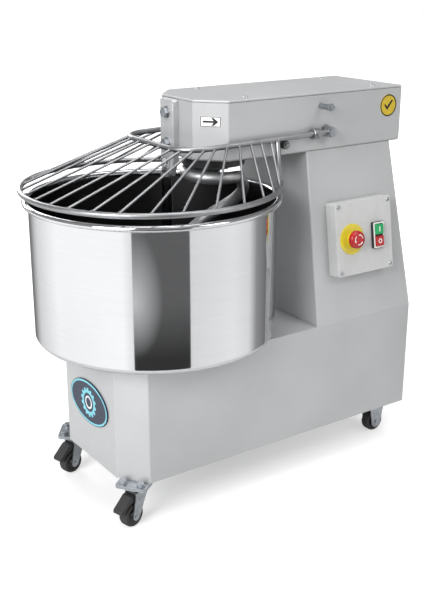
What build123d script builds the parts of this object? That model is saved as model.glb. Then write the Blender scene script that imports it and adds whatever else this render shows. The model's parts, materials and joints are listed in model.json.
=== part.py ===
from build123d import *
import os
from math import atan, cos, pi, radians, sin

# Spiral dough mixer on casters: a painted sheet-steel base with a leaning column and an
# overhanging head, a stainless bowl that turns on the base, a spiral hook and a fixed breaker
# bar that hang from the head, and a wire guard that tilts up about two pins on the head.
# Millimetres, +Z up, front towards -Y, control box on the +X side.
# The origin is on the floor, under the centre of the machine's overall length and width.

# ---------------------------------------------------------------- driving dimensions
bowl_rear_reach = 583.5         # bowl axis to the rear of the base
guard_hoop_r = 258.4            # centre line of the guard's lower hoop
guard_hoop_ahead = 4.0          # hoop centre ahead of the bowl axis
guard_tube_r = 5.5
guard_front_reach = guard_hoop_ahead + guard_hoop_r + guard_tube_r
bowl_y = (guard_front_reach - bowl_rear_reach) / 2
rear_y = bowl_y + bowl_rear_reach
sheet = 2.0                     # casing sheet thickness
bend = 4.0                      # outside radius of the casing's bends

base_z = 94.0                   # underside of the base
deck_z = 336.5                  # deck under the bowl, and the crease of the column's sides
column_top_z = 707.0
head_top_z = 826.0
base_half = 163.0
base_front_y = bowl_y - 161.0
base_front_half = 103.5
base_chamfer_y = bowl_y - 117.0
column_front_y = bowl_y + 307.0
column_top_half = 108.0
column_top_rear_y = bowl_y + 542.0
panel_sheet = 1.5               # rear panel thickness
shell_rear_y = rear_y - panel_sheet

head_half = 110.0
head_front_half = 56.0
head_front_y = bowl_y + 59.0
head_chamfer_y = bowl_y + 108.0
head_rear_y = bowl_y + 569.0
lid_z = 822.2                   # lower edge of the head's lid
lid_seam = 1.2

floor_sheet = 3.0
plate_z = 234.0                 # underside of the drive frame's plate
plate_thick = 8.0
head_plate_z = column_top_z + sheet
head_plate_thick = 8.0

bowl_wall_r = 249.0             # outside of the bowl's wall
bowl_sheet = 2.0
bowl_foot_r = 12.0              # outside radius between the wall and the bottom
bowl_bottom_z = 347.0
bowl_rim_z = 632.0
bowl_bead_r = 6.0               # rolled rim
bowl_bead_ring_r = 254.5

spiral_y = bowl_y + 147.0
main_y = bowl_y + 335.0
jack_y = bowl_y + 190.0
motor_y = bowl_y + 490.0

hook_bar_r = 12.5
hook_top_ring_r = 58.5          # centre line of the hook's level top arc
hook_ring_r = 73.0              # centre line of its helix
hook_top_z = 668.0
hook_tip_z = 386.0
hook_start_deg = -124.5

breaker_x = -18.0
breaker_y = bowl_y + 45.0
breaker_r = 11.0
breaker_tip_z = 372.0

pulley_width = 20.0
belt_width = 8.0
belt_depth = 7.0
main_low_r = 112.0              # motor pulley to main shaft, 4 to 1
motor_pulley_r = 28.0
main_jack_r = 25.0              # main shaft to jackshaft, 4 to 1
jack_big_r = 100.0
jack_small_r = 20.0             # jackshaft to bowl, 7 to 1
bowl_pulley_r = 140.0
main_top_r = 24.0               # main shaft to spiral, 10 to 3
spiral_pulley_r = 80.0
motor_belt_z = 215.0
jack_belt_z = 175.0
bowl_belt_z = 135.0
spiral_belt_z = 757.0
main_shaft_r = 12.5
jack_shaft_r = 10.0
bowl_shaft_r = 20.0
spiral_shaft_r = 17.5
motor_shaft_r = 12.0
running = 0.2                   # gap between a shaft and its bearing

pivot_y = bowl_y + 354.0
pivot_z = 746.0
guard_half = 122.0              # centre line of the guard's side arms
guard_nose_y = bowl_y - 1.0
guard_nose_z = 740.0
guard_corner_r = 55.0
guard_hoop_z = 657.4
guard_hoop_end = 145.5          # hoop's half sweep from the front, degrees
guard_wire_r = 2.5
wire_top_run = [0, 38, 75, 99, 122, 144, 168, 195, 224, 251, 276, 301]
wire_hoop_turn = [0, 11.5, 22.2, 33.9, 45.4, 58.2, 71.0, 85.3, 100.2, 113.9, 124.5, 138.0]

box_side = 158.0                # control box, square on the leaning side
box_depth = 27.0
box_cover = 3.0
box_y = bowl_y + 428.3
box_up = 182.4                  # centre, measured up the leaning side from the crease
estop_at = (-37.5, -1.0)
buttons_at = (34.5, -2.0)

caster_wheel_r = 25.0
caster_half = 11.0
front_caster = (134.7, bowl_y - 134.2)
front_caster_trail = 16.0
front_caster_deg = -75.0
rear_caster = (95.0, bowl_y + 550.0)

os.makedirs("parts", exist_ok=True)


def keep(builder, name):
    """Label a finished piece and write it out."""
    builder.part.label = name
    export_step(builder.part, f"parts/{name}.step")


# ---------------------------------------------------------------- shapes used again
def upright(y, x=0.0):
    """The vertical plane through (x, y), with its first axis along +X and its second up."""
    return Plane((x, y, 0), x_dir=(1, 0, 0), z_dir=(0, -1, 0))


def turn(outline, y=0.0, x=0.0, mode=Mode.ADD):
    """Revolve a closed outline of (radius, height) points about the vertical through (x, y)."""
    with BuildSketch(upright(y, x)) as section:
        with BuildLine():
            Polyline(*outline, close=True)
        make_face()
    revolve(section.sketch, axis=Axis((x, y, 0), (0, 0, 1)), mode=mode)


def ring(r_in, r_out, z_low, z_high, y=0.0, x=0.0, mode=Mode.ADD):
    """A plain ring about a vertical axis, or a disc when r_in is 0."""
    turn([(r_in, z_low), (r_out, z_low), (r_out, z_high), (r_in, z_high)], y, x, mode)


def rod(start, end, radius, mode=Mode.ADD):
    """A round bar from one point to another."""
    along = Vector(*end) - Vector(*start)
    with BuildSketch(Plane(start, z_dir=along)) as section:
        Circle(radius)
    extrude(section.sketch, amount=along.length, mode=mode)


def prism(points, z_low, z_high, inset=0.0, corner=bend, mode=Mode.ADD):
    """Extrude a plan between two heights, set in from its outline and with bent corners."""
    with BuildSketch(Plane.XY.offset(z_low)) as outline:
        with BuildLine():
            Polyline(*points, close=True)
        make_face()
        if inset:
            offset(amount=-inset, kind=Kind.INTERSECTION)
        fillet(outline.vertices(), corner)
    extrude(outline.sketch, amount=z_high - z_low, mode=mode)


def side_by_side(points):
    """Mirror the +X half of a plan, listed front to rear, to a closed outline."""
    return points + [(-x, y) for x, y in reversed(points)]


base_plan = side_by_side([(base_front_half, base_front_y), (base_half, base_chamfer_y),
                          (base_half, shell_rear_y)])
head_plan = side_by_side([(head_front_half, head_front_y), (head_half, head_chamfer_y),
                          (head_half, head_rear_y)])


def column_rise(inset, z_low, mode=Mode.ADD):
    """The leaning column between z_low and its top, as a loft of two rounded rectangles."""
    lean = (base_half - column_top_half) / (column_top_z - deck_z)
    rear_lean = (shell_rear_y - column_top_rear_y) / (column_top_z - deck_z)
    sections = []
    for z in (z_low, column_top_z):
        half = base_half - inset - lean * (z - deck_z)
        y_low = column_front_y + inset
        y_high = shell_rear_y - inset - rear_lean * (z - deck_z)
        with BuildSketch(Plane.XY.offset(z)) as section:
            with Locations((0, (y_low + y_high) / 2)):
                Rectangle(2 * half, y_high - y_low)
            fillet(section.vertices(), bend - inset / 2)
        sections.append(section.sketch)
    loft(sections, mode=mode)


# ---------------------------------------------------------------- casing
window_half = 95.0
window_z = (132.0, 655.0)
rear_screws = [(side * 101.5, z) for side in (-1, 1) for z in (125.0, 320.0)]
rear_screw_r = 3.0
gland_y = rear_y - 60.0
gland_z = 150.0
gland_bore_r = 5.0


def rear_holes():
    """Clearance holes for the rear panel's screws."""
    for x, z in rear_screws:
        rod((x, rear_y + 1, z), (x, rear_y - 12, z), rear_screw_r + 0.2, mode=Mode.SUBTRACT)


with BuildPart() as body_shell:
    prism(base_plan, base_z, deck_z)
    column_rise(0, deck_z)
    prism(base_plan, base_z, deck_z - sheet, inset=sheet, corner=bend - sheet, mode=Mode.SUBTRACT)
    column_rise(sheet, deck_z - 2 * sheet, mode=Mode.SUBTRACT)
    with Locations((0, shell_rear_y - 20, sum(window_z) / 2)):
        Box(2 * window_half, 80, window_z[1] - window_z[0], mode=Mode.SUBTRACT)
    ring(0, 52, deck_z - 5, deck_z + 5, bowl_y, mode=Mode.SUBTRACT)
    rear_holes()
    rod((-base_half - 1, gland_y, gland_z), (-base_half + 5, gland_y, gland_z), 6,
        mode=Mode.SUBTRACT)
keep(body_shell, "body_shell")

rear_panel_half = 108.0
rear_panel_top_z = 680.0
rear_lean = (shell_rear_y - column_top_rear_y) / (column_top_z - deck_z)


def rear_surface(z):
    """Y of the casing's rear face at height z."""
    return shell_rear_y - rear_lean * max(0.0, z - deck_z)


with BuildPart() as rear_panel:
    with BuildSketch(Plane.YZ):
        with BuildLine():
            Polyline((shell_rear_y, 112), (rear_y, 112), (rear_y, deck_z),
                     (rear_surface(rear_panel_top_z) + panel_sheet, rear_panel_top_z),
                     (rear_surface(rear_panel_top_z), rear_panel_top_z),
                     (shell_rear_y, deck_z), close=True)
        make_face()
    extrude(amount=rear_panel_half, both=True)
    with BuildSketch(Plane.XZ.offset(-rear_y - 5)):
        with Locations((0, 230)):
            with GridLocations(80, 16, 2, 8):
                SlotOverall(64, 5)
    extrude(amount=20, mode=Mode.SUBTRACT)
    rear_holes()
keep(rear_panel, "rear_panel")

with BuildPart() as floor_plate:
    prism(base_plan, base_z, base_z + floor_sheet, inset=sheet + 0.2, corner=bend - sheet)
    with BuildSketch(Plane.XY.offset(base_z)):
        with Locations((0, bowl_y + 60)):
            with GridLocations(70, 90, 3, 3):
                SlotOverall(50, 6)
    extrude(amount=floor_sheet, mode=Mode.SUBTRACT)
keep(floor_plate, "floor_plate")

# Drive frame: a thick plate on two cheeks that stand on the floor plate.
frame_half = 155.0
cheek = 6.0
frame_y = (bowl_y - 75.0, bowl_y + 563.0)
frame_mid_y = sum(frame_y) / 2
frame_long = frame_y[1] - frame_y[0]
floor_top_z = base_z + floor_sheet
plate_top_z = plate_z + plate_thick

with BuildPart() as drive_frame:
    with Locations((0, frame_mid_y, plate_z + plate_thick / 2)):
        Box(2 * frame_half, frame_long, plate_thick)
    for side in (-1, 1):
        with Locations((side * (frame_half - cheek / 2), frame_mid_y,
                        (floor_top_z + plate_z) / 2)):
            Box(cheek, frame_long, plate_z - floor_top_z)
    for y, hole_r in ((bowl_y, 30), (jack_y, 18), (main_y, 18), (motor_y, 30)):
        ring(0, hole_r, plate_z - 1, plate_top_z + 1, y, mode=Mode.SUBTRACT)
    with Locations((0, bowl_y + 412, plate_z + plate_thick / 2)):
        for x in (-120, 120):
            with Locations((x, 0, 0)):
                Box(30, 60, 2 * plate_thick, mode=Mode.SUBTRACT)
keep(drive_frame, "drive_frame")

# ---------------------------------------------------------------- head
spiral_housing_r = 42.0

with BuildPart() as head_shell:
    prism(head_plan, column_top_z, lid_z - lid_seam)
    foot = head_shell.edges().filter_by(Axis.X).group_by(Axis.Y)[-1].sort_by(Axis.Z)[0]
    fillet(foot, 5)
    prism(head_plan, column_top_z + sheet, head_top_z, inset=sheet, corner=bend - sheet,
          mode=Mode.SUBTRACT)
    ring(0, spiral_housing_r + 3, column_top_z - 1, column_top_z + 5, spiral_y,
         mode=Mode.SUBTRACT)
    with Locations((0, (column_front_y + column_top_rear_y) / 2, column_top_z)):
        Box(150, 206, 10, mode=Mode.SUBTRACT)
keep(head_shell, "head_shell")

with BuildPart() as head_base_plate:
    half = head_half - sheet - 0.5
    y_range = (head_chamfer_y + 4, head_rear_y - 12)
    with BuildSketch(Plane.XY.offset(head_plate_z)):
        with Locations((0, sum(y_range) / 2)):
            Rectangle(2 * half, y_range[1] - y_range[0])
    extrude(amount=head_plate_thick)
    ring(0, spiral_housing_r + 0.5, head_plate_z - 1, head_plate_z + 20, spiral_y,
         mode=Mode.SUBTRACT)
    ring(0, 18, head_plate_z - 1, head_plate_z + 20, main_y, mode=Mode.SUBTRACT)
keep(head_base_plate, "head_base_plate")

lip_gap = 0.6
with BuildPart() as head_cover:
    prism(head_plan, lid_z, head_top_z)
    fillet(head_cover.faces().sort_by(Axis.Z)[-1].edges(), 1.5)
    prism(head_plan, lid_z - 10, head_top_z - sheet, inset=sheet + lip_gap,
          corner=bend - sheet, mode=Mode.ADD)
    prism(head_plan, lid_z - 11, head_top_z - sheet, inset=2 * sheet + lip_gap, corner=1,
          mode=Mode.SUBTRACT)
keep(head_cover, "head_cover")

# Small dome-headed screws: lid, rear panel and control box cover share one size.
screw_head_r = 4.5
screw_head_h = 2.5


def screw_head(place):
    """A dome head standing on a plane, with its hex socket."""
    with BuildSketch(place) as rim:
        Circle(screw_head_r)
    extrude(rim.sketch, amount=screw_head_h, taper=25)
    with BuildSketch(place.offset(screw_head_h - 1.2)) as socket:
        RegularPolygon(1.6, 6)
    extrude(socket.sketch, amount=2, mode=Mode.SUBTRACT)


side_lean = atan((base_half - column_top_half) / (column_top_z - deck_z))
panel_normal = Vector(cos(side_lean), 0, sin(side_lean))
box_origin = Vector(base_half - box_up * sin(side_lean), box_y, deck_z + box_up * cos(side_lean))
box_plane = Plane(box_origin, x_dir=(0, 1, 0), z_dir=panel_normal)
cover_top = box_depth + box_cover


def on_box(at, height):
    """A plane parallel to the control box's face, at a point on it and a height above the side."""
    return Plane(box_plane.from_local_coords((at[0], at[1], height)), x_dir=(0, 1, 0),
                 z_dir=panel_normal)


lid_screws = [(side * 85.0, bowl_y + y) for side in (-1, 1) for y in (165.0, 505.0)]
box_screws = [(sx * 70.5, sy * 70.5) for sx in (-1, 1) for sy in (-1, 1)]

with BuildPart() as cover_screws:
    for x, y in lid_screws:
        screw_head(Plane((x, y, head_top_z), z_dir=(0, 0, 1)))
    for at in box_screws:
        screw_head(on_box(at, cover_top))
keep(cover_screws, "cover_screws")

with BuildPart() as panel_screws:
    for x, z in rear_screws:
        with BuildSketch(Plane((x, rear_y, z), x_dir=(1, 0, 0), z_dir=(0, -1, 0))):
            Circle(rear_screw_r)
        extrude(amount=8)
keep(panel_screws, "panel_screws")

# ---------------------------------------------------------------- bearings and their housings
with BuildPart() as bowl_bearing_housing:
    low, high = plate_top_z, deck_z - sheet
    turn([(31, low), (72, low), (72, low + 8), (46, low + 10), (46, high - 10), (72, high - 8),
          (72, high), (31, high)], bowl_y)
    with Locations(Plane.XY.offset(low)):
        with Locations((0, bowl_y, 0)):
            with PolarLocations(60, 4, 45):
                Hole(5, depth=20)
keep(bowl_bearing_housing, "bowl_bearing_housing")

spiral_housing_z = (692.0, 740.0)
spiral_shield_r = 65.0
spiral_shield_z = (685.0, column_top_z - 0.5)
with BuildPart() as spiral_bearing_housing:
    low, high = spiral_housing_z
    seat = head_plate_z + head_plate_thick
    turn([(28, low), (38, low), (38, spiral_shield_z[0]), (spiral_shield_r, spiral_shield_z[0]),
          (spiral_shield_r, spiral_shield_z[1]), (spiral_housing_r, spiral_shield_z[1]),
          (spiral_housing_r, seat), (64, seat),
          (64, seat + 8), (spiral_housing_r, seat + 10), (spiral_housing_r, high), (28, high)],
         spiral_y)
keep(spiral_bearing_housing, "spiral_bearing_housing")

block_side = 80.0
block_high = 18.0
block_bore_r = 24.0
block_seats = [(main_y, floor_top_z, main_shaft_r), (main_y, plate_top_z, main_shaft_r),
               (main_y, head_plate_z + head_plate_thick, main_shaft_r),
               (jack_y, floor_top_z, jack_shaft_r), (jack_y, plate_top_z, jack_shaft_r)]
with BuildPart() as bearing_blocks:
    for y, z, shaft_r in block_seats:
        with BuildSketch(Plane.XY.offset(z)):
            with Locations((0, y)):
                RectangleRounded(block_side, block_side, 12)
                Circle(block_bore_r, mode=Mode.SUBTRACT)
                with GridLocations(58, 58, 2, 2):
                    Circle(4.5, mode=Mode.SUBTRACT)
        extrude(amount=block_high)
keep(bearing_blocks, "bearing_blocks")


def ball_bearing(shaft_r, housing_r, z, high, y):
    """A shielded bearing: one ring with shallow grooves for its shields."""
    inner = shaft_r + running
    mid = (inner + housing_r) / 2
    turn([(inner, z), (mid - 3, z), (mid - 3, z + 1), (mid + 3, z + 1), (mid + 3, z),
          (housing_r, z), (housing_r, z + high), (mid + 3, z + high), (mid + 3, z + high - 1),
          (mid - 3, z + high - 1), (mid - 3, z + high), (inner, z + high)], y)


with BuildPart() as shaft_bearings:
    for z in (plate_top_z + 4, deck_z - sheet - 20):
        ball_bearing(bowl_shaft_r, 31, z, 16, bowl_y)
    for z in (spiral_housing_z[0] + 3, spiral_housing_z[1] - 17):
        ball_bearing(spiral_shaft_r, 28, z, 14, spiral_y)
    for y, z, shaft_r in block_seats:
        ball_bearing(shaft_r, block_bore_r, z + 2, 14, y)
keep(shaft_bearings, "shaft_bearings")


# ---------------------------------------------------------------- pulleys, shafts and belts
def pulley(radius, bore, z, y):
    """A V-groove pulley of belt-line radius, with a lightened web when it is large."""
    half = pulley_width / 2
    turn([(bore, z - half), (radius + 1, z - half), (radius + 1, z - 6.6),
          (radius - 7.5, z - 4.6), (radius - 7.5, z + 4.6), (radius + 1, z + 6.6),
          (radius + 1, z + half), (bore, z + half)], y)
    if radius > 80:
        web_out, web_in = radius - 16, bore + 16
        for low in (z - half - 1, z + 4):
            ring(web_in, web_out, low, low + 7, y, mode=Mode.SUBTRACT)
        hole_r = (web_out - web_in) / 2 - 6
        with BuildSketch(Plane.XY.offset(z - half)) as holes:
            with Locations((0, y)):
                with PolarLocations((web_out + web_in) / 2, 5):
                    Circle(hole_r)
        extrude(holes.sketch, amount=pulley_width, mode=Mode.SUBTRACT)


def belt(z, y_a, r_a, y_b, r_b):
    """A belt round two pulleys on the centre line."""
    for depth, mode in ((0.0, Mode.ADD), (belt_depth, Mode.SUBTRACT)):
        with BuildSketch(Plane.XY.offset(z - belt_width / 2)) as loop:
            for y, radius in ((y_a, r_a), (y_b, r_b)):
                with Locations((0, y)):
                    Circle(radius - depth)
            make_hull()
        extrude(loop.sketch, amount=belt_width, mode=mode)


with BuildPart() as motor_belt:
    belt(motor_belt_z, motor_y, motor_pulley_r, main_y, main_low_r)
keep(motor_belt, "motor_belt")

with BuildPart() as jack_belt:
    belt(jack_belt_z, main_y, main_jack_r, jack_y, jack_big_r)
keep(jack_belt, "jack_belt")

with BuildPart() as bowl_belt:
    belt(bowl_belt_z, jack_y, jack_small_r, bowl_y, bowl_pulley_r)
keep(bowl_belt, "bowl_belt")

with BuildPart() as spiral_belt:
    belt(spiral_belt_z, main_y, main_top_r, spiral_y, spiral_pulley_r)
keep(spiral_belt, "spiral_belt")

with BuildPart() as main_shaft:
    ring(0, main_shaft_r, floor_top_z + 1, spiral_belt_z + 16, main_y)
    chamfer(main_shaft.edges().filter_by(GeomType.CIRCLE), 1)
keep(main_shaft, "main_shaft")

with BuildPart() as main_pulleys:
    for radius, z in ((main_low_r, motor_belt_z), (main_jack_r, jack_belt_z),
                      (main_top_r, spiral_belt_z)):
        pulley(radius, main_shaft_r, z, main_y)
keep(main_pulleys, "main_pulleys")

with BuildPart() as jack_shaft:
    ring(0, jack_shaft_r, floor_top_z + 1, plate_top_z + block_high + 3, jack_y)
    chamfer(jack_shaft.edges().filter_by(GeomType.CIRCLE), 1)
keep(jack_shaft, "jack_shaft")

with BuildPart() as jack_pulleys:
    pulley(jack_big_r, jack_shaft_r, jack_belt_z, jack_y)
    pulley(jack_small_r, jack_shaft_r, bowl_belt_z, jack_y)
keep(jack_pulleys, "jack_pulleys")

# ---------------------------------------------------------------- motor
motor_flange_z = plate_top_z
motor_r = 66.0
motor_top_z = 418.0

with BuildPart() as motor_body:
    ring(0, motor_r - 6, motor_flange_z, motor_top_z, motor_y)
    with BuildSketch(Plane.XY.offset(motor_flange_z)):
        with Locations((0, motor_y)):
            RectangleRounded(140, 140, 16)
    extrude(amount=12)
    with BuildSketch(Plane.XY.offset(motor_flange_z + 22)):
        with Locations((0, motor_y)):
            with PolarLocations(motor_r - 4, 28):
                Rectangle(8, 3)
    extrude(amount=motor_top_z - motor_flange_z - 32)
    with Locations((motor_r + 2, motor_y, 330)):
        Box(28, 60, 70)
    ring(0, motor_shaft_r + running, motor_flange_z - 1, motor_flange_z + 50, motor_y,
         mode=Mode.SUBTRACT)
keep(motor_body, "motor_body")

with BuildPart() as motor_fan_cover:
    ring(0, motor_r - 1, motor_top_z, motor_top_z + 42, motor_y)
    fillet(motor_fan_cover.edges().filter_by(GeomType.CIRCLE).sort_by(Axis.Z)[-1], 5)
    ring(0, motor_r - 3, motor_top_z - 1, motor_top_z + 38, motor_y, mode=Mode.SUBTRACT)
    with BuildSketch(Plane.XY.offset(motor_top_z + 30)):
        with Locations((0, motor_y)):
            for radius in (22, 38):
                with PolarLocations(radius, 12):
                    Circle(4)
    extrude(amount=20, mode=Mode.SUBTRACT)
keep(motor_fan_cover, "motor_fan_cover")

with BuildPart() as motor_rotor:
    ring(0, motor_shaft_r, motor_belt_z - 14, motor_flange_z + 48, motor_y)
    pulley(motor_pulley_r, motor_shaft_r - 1, motor_belt_z, motor_y)
keep(motor_rotor, "motor_rotor")

# ---------------------------------------------------------------- bowl
with BuildPart() as bowl:
    inner_r = bowl_wall_r - bowl_sheet
    inner_foot_r = bowl_foot_r - bowl_sheet
    inner_z = bowl_bottom_z + bowl_sheet
    with BuildSketch(upright(bowl_y)):
        with BuildLine():
            Line((0, bowl_bottom_z), (bowl_wall_r - bowl_foot_r, bowl_bottom_z))
            CenterArc((bowl_wall_r - bowl_foot_r, bowl_bottom_z + bowl_foot_r), bowl_foot_r,
                      -90, 90)
            Line((bowl_wall_r, bowl_bottom_z + bowl_foot_r), (bowl_wall_r, bowl_rim_z))
            Line((bowl_wall_r, bowl_rim_z), (inner_r, bowl_rim_z))
            Line((inner_r, bowl_rim_z), (inner_r, inner_z + inner_foot_r))
            CenterArc((inner_r - inner_foot_r, inner_z + inner_foot_r), inner_foot_r, 0, -90)
            Line((inner_r - inner_foot_r, inner_z), (0, inner_z))
            Line((0, inner_z), (0, bowl_bottom_z))
        make_face()
        with Locations((bowl_bead_ring_r, bowl_rim_z)):
            Circle(bowl_bead_r)
    revolve(axis=Axis((0, bowl_y, 0), (0, 0, 1)))
keep(bowl, "bowl")

with BuildPart() as bowl_hub:
    turn([(0, bowl_belt_z - 14), (bowl_shaft_r, bowl_belt_z - 14), (bowl_shaft_r, deck_z + 2),
          (92, deck_z + 2.5), (92, bowl_bottom_z), (0, bowl_bottom_z)], bowl_y)
keep(bowl_hub, "bowl_hub")

with BuildPart() as bowl_pulley:
    pulley(bowl_pulley_r, bowl_shaft_r, bowl_belt_z, bowl_y)
keep(bowl_pulley, "bowl_pulley")


# ---------------------------------------------------------------- spiral hook and breaker bar
def hook_point(turned):
    """A point on the hook's centre line, by its turn in degrees from the start of the top arc."""
    drop = min(1.0, max(0.0, turned - 150.0) / 330.0)
    early = min(1.0, turned / 150.0)
    swell = min(1.0, max(0.0, turned - 150.0) / 120.0)
    radius = hook_top_ring_r + (hook_ring_r - hook_top_ring_r) * swell
    height = hook_top_z - 6.0 * early - (hook_top_z - 6.0 - hook_tip_z) * drop
    angle = radians(hook_start_deg + turned)
    return (radius * cos(angle), spiral_y + radius * sin(angle), height)


hook_start = Vector(hook_top_ring_r * cos(radians(hook_start_deg)),
                    spiral_y + hook_top_ring_r * sin(radians(hook_start_deg)), hook_top_z)

with BuildPart() as spiral_hook:
    with BuildLine(Plane.XY.offset(hook_top_z)) as arm:
        CenterArc((hook_start.X / 2, (hook_start.Y + spiral_y) / 2), hook_top_ring_r / 2,
                  hook_start_deg + 180, 180)
    with BuildSketch(Plane(arm.line @ 0, z_dir=arm.line % 0)):
        Circle(hook_bar_r)
    sweep()
    with BuildLine() as coil:
        Spline(*[hook_point(step) for step in range(0, 481, 30)])
    with BuildSketch(Plane(coil.line @ 0, z_dir=coil.line % 0)):
        Circle(hook_bar_r)
    sweep()
    with Locations(hook_start, Vector(*hook_point(480)), (0, spiral_y, hook_top_z)):
        Sphere(hook_bar_r)
    ring(0, hook_bar_r + 6, hook_top_z, 676, spiral_y)
    ring(0, 36, 676, 684, spiral_y)
keep(spiral_hook, "spiral_hook")

with BuildPart() as spiral_shaft:
    turn([(0, 684), (36, 684), (36, 690), (spiral_shaft_r, 690),
          (spiral_shaft_r, spiral_belt_z + 14), (0, spiral_belt_z + 14)], spiral_y)
keep(spiral_shaft, "spiral_shaft")

with BuildPart() as spiral_pulley:
    pulley(spiral_pulley_r, spiral_shaft_r, spiral_belt_z, spiral_y)
keep(spiral_pulley, "spiral_pulley")

breaker_plate_x = (-42.0, 6.0)
breaker_plate_z = (700.0, 821.0)
breaker_plate_thick = 13.0
breaker_bolt_z = (733.0, 795.0)
breaker_taper_z = 666.0

with BuildPart() as breaker_bar:
    with BuildSketch(Plane.XZ.offset(-head_front_y)):
        with BuildLine():
            Polyline((breaker_plate_x[0], breaker_plate_z[1]),
                     (breaker_plate_x[1], breaker_plate_z[1]),
                     (breaker_plate_x[1], breaker_plate_z[0]),
                     (breaker_x + breaker_r - 1, breaker_taper_z),
                     (breaker_x - breaker_r + 1, breaker_taper_z),
                     (breaker_plate_x[0], breaker_plate_z[0]), close=True)
        make_face()
    extrude(amount=breaker_plate_thick)
    fillet(breaker_bar.edges().filter_by(Axis.Y).group_by(Axis.Z)[-1], 4)
    rod((breaker_x, breaker_y, 712), (breaker_x, breaker_y, breaker_tip_z), breaker_r)
    fillet(breaker_bar.faces().sort_by(Axis.Z)[0].edges(), 6)
keep(breaker_bar, "breaker_bar")


def hex_bolt(place, across, high, washer_r):
    """A hex head on its washer, standing on a plane."""
    with BuildSketch(place) as washer:
        Circle(washer_r)
    extrude(washer.sketch, amount=2)
    with BuildSketch(place.offset(2)) as head:
        RegularPolygon(across / 2, 6, major_radius=False)
    extrude(head.sketch, amount=high)


breaker_face_y = head_front_y - breaker_plate_thick
with BuildPart() as breaker_bolts:
    for z in breaker_bolt_z:
        hex_bolt(Plane((breaker_x, breaker_face_y, z), x_dir=(1, 0, 0), z_dir=(0, -1, 0)),
                 19, 7.5, 12)
keep(breaker_bolts, "breaker_bolts")

# ---------------------------------------------------------------- guard
stop_y = bowl_y + 339.0
stop_z = 799.0
bumper_y = bowl_y + 240.0
bumper_r = 8.5
arm_slope = (pivot_z - guard_nose_z) / (pivot_y - guard_nose_y)


def arm_height(y):
    """Height of the guard's upper rail, which rises evenly from its nose to the pivot."""
    return guard_nose_z + arm_slope * (y - guard_nose_y)


bumper_z = arm_height(bumper_y) - guard_tube_r - bumper_r - 0.3

with BuildPart() as guard_pins:
    for side in (-1, 1):
        rod((side * head_half, pivot_y, pivot_z), (side * (head_half + 2.5), pivot_y, pivot_z), 14)
        rod((side * head_half, pivot_y, pivot_z), (side * 136, pivot_y, pivot_z), 6)
        rod((side * 132.5, pivot_y, pivot_z), (side * 137, pivot_y, pivot_z), 10)
        rod((side * head_half, stop_y, stop_z), (side * 140, stop_y, stop_z), 6)
        rod((side * 140, stop_y, stop_z), (side * 143, stop_y, stop_z), 7.5)
        rod((side * 143, stop_y, stop_z), (side * 149, stop_y, stop_z), 5)
keep(guard_pins, "guard_pins")

with BuildPart() as guard_bumpers:
    for side in (-1, 1):
        rod((side * head_half, bumper_y, bumper_z), (side * 124, bumper_y, bumper_z), bumper_r)
        rod((side * 124, bumper_y, bumper_z), (side * 130, bumper_y, bumper_z), 5)
keep(guard_bumpers, "guard_bumpers")

hoop_y = bowl_y - guard_hoop_ahead


def hoop_point(turned, side=1, lift=0.0):
    """A point on the hoop's centre line, by its turn in degrees from the front."""
    angle = radians(turned)
    return (side * guard_hoop_r * sin(angle), hoop_y - guard_hoop_r * cos(angle),
            guard_hoop_z + lift)


def rail_point(run, side=1):
    """A point on the upper rail's centre line, by its distance from the middle of the nose."""
    flat = guard_half - guard_corner_r
    bent = guard_corner_r * pi / 2
    if run <= flat:
        x, y = run, guard_nose_y
    elif run <= flat + bent:
        angle = (run - flat) / guard_corner_r
        x = flat + guard_corner_r * sin(angle)
        y = guard_nose_y + guard_corner_r * (1 - cos(angle))
    else:
        x, y = guard_half, guard_nose_y + guard_corner_r + run - flat - bent
    return (side * x, y, arm_height(y))


end_post_y = bowl_y + 218.0
eye_half = 9.0
eye_r = 11.0
collar_y = bowl_y + 317.0

with BuildPart() as guard_frame:
    rail_ends = [(guard_half, pivot_y), (guard_half, guard_nose_y), (-guard_half, guard_nose_y),
                 (-guard_half, pivot_y)]
    with BuildLine() as rail:
        FilletPolyline(*[(x, y, arm_height(y)) for x, y in rail_ends], radius=guard_corner_r)
    with BuildSketch(Plane(rail.line @ 0, z_dir=rail.line % 0)):
        Circle(guard_tube_r)
    sweep()
    with BuildLine(Plane.XY.offset(guard_hoop_z)) as hoop:
        CenterArc((0, hoop_y), guard_hoop_r, guard_hoop_end - 90, -2 * guard_hoop_end)
    with BuildSketch(Plane(hoop.line @ 0, z_dir=hoop.line % 0)):
        Circle(guard_tube_r)
    sweep()
    for side in (-1, 1):
        hoop_end = hoop_point(guard_hoop_end, side)
        post_top = (side * guard_half, end_post_y, arm_height(end_post_y))
        rod(hoop_end, post_top, guard_tube_r)
        with Locations(hoop_end):
            Sphere(guard_tube_r)
        rod((side * (guard_half - eye_half), pivot_y, pivot_z),
            (side * (guard_half + eye_half), pivot_y, pivot_z), eye_r)
        collar_z = arm_height(collar_y)
        rod((side * guard_half, collar_y - 9, collar_z), (side * guard_half, collar_y + 9, collar_z),
            11)
        rod((side * guard_half, collar_y, collar_z), (side * 136, collar_y, collar_z), 5)
    for side in (-1, 1):
        rod((side * (guard_half - eye_half - 1), pivot_y, pivot_z),
            (side * (guard_half + eye_half + 1), pivot_y, pivot_z), 6 + running,
            mode=Mode.SUBTRACT)
keep(guard_frame, "guard_frame")

with BuildPart() as guard_wires:
    for side in (-1, 1):
        for run, turned in zip(wire_top_run, wire_hoop_turn):
            if run == 0 and side == -1:
                continue
            low = Vector(*hoop_point(turned, side))
            high = Vector(*rail_point(run, side))
            along = (high - low).normalized()
            start = low + along * (guard_tube_r - 1)
            end = high - along * (guard_tube_r - 1)
            rod(tuple(start), tuple(end), guard_wire_r)
keep(guard_wires, "guard_wires")

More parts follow.
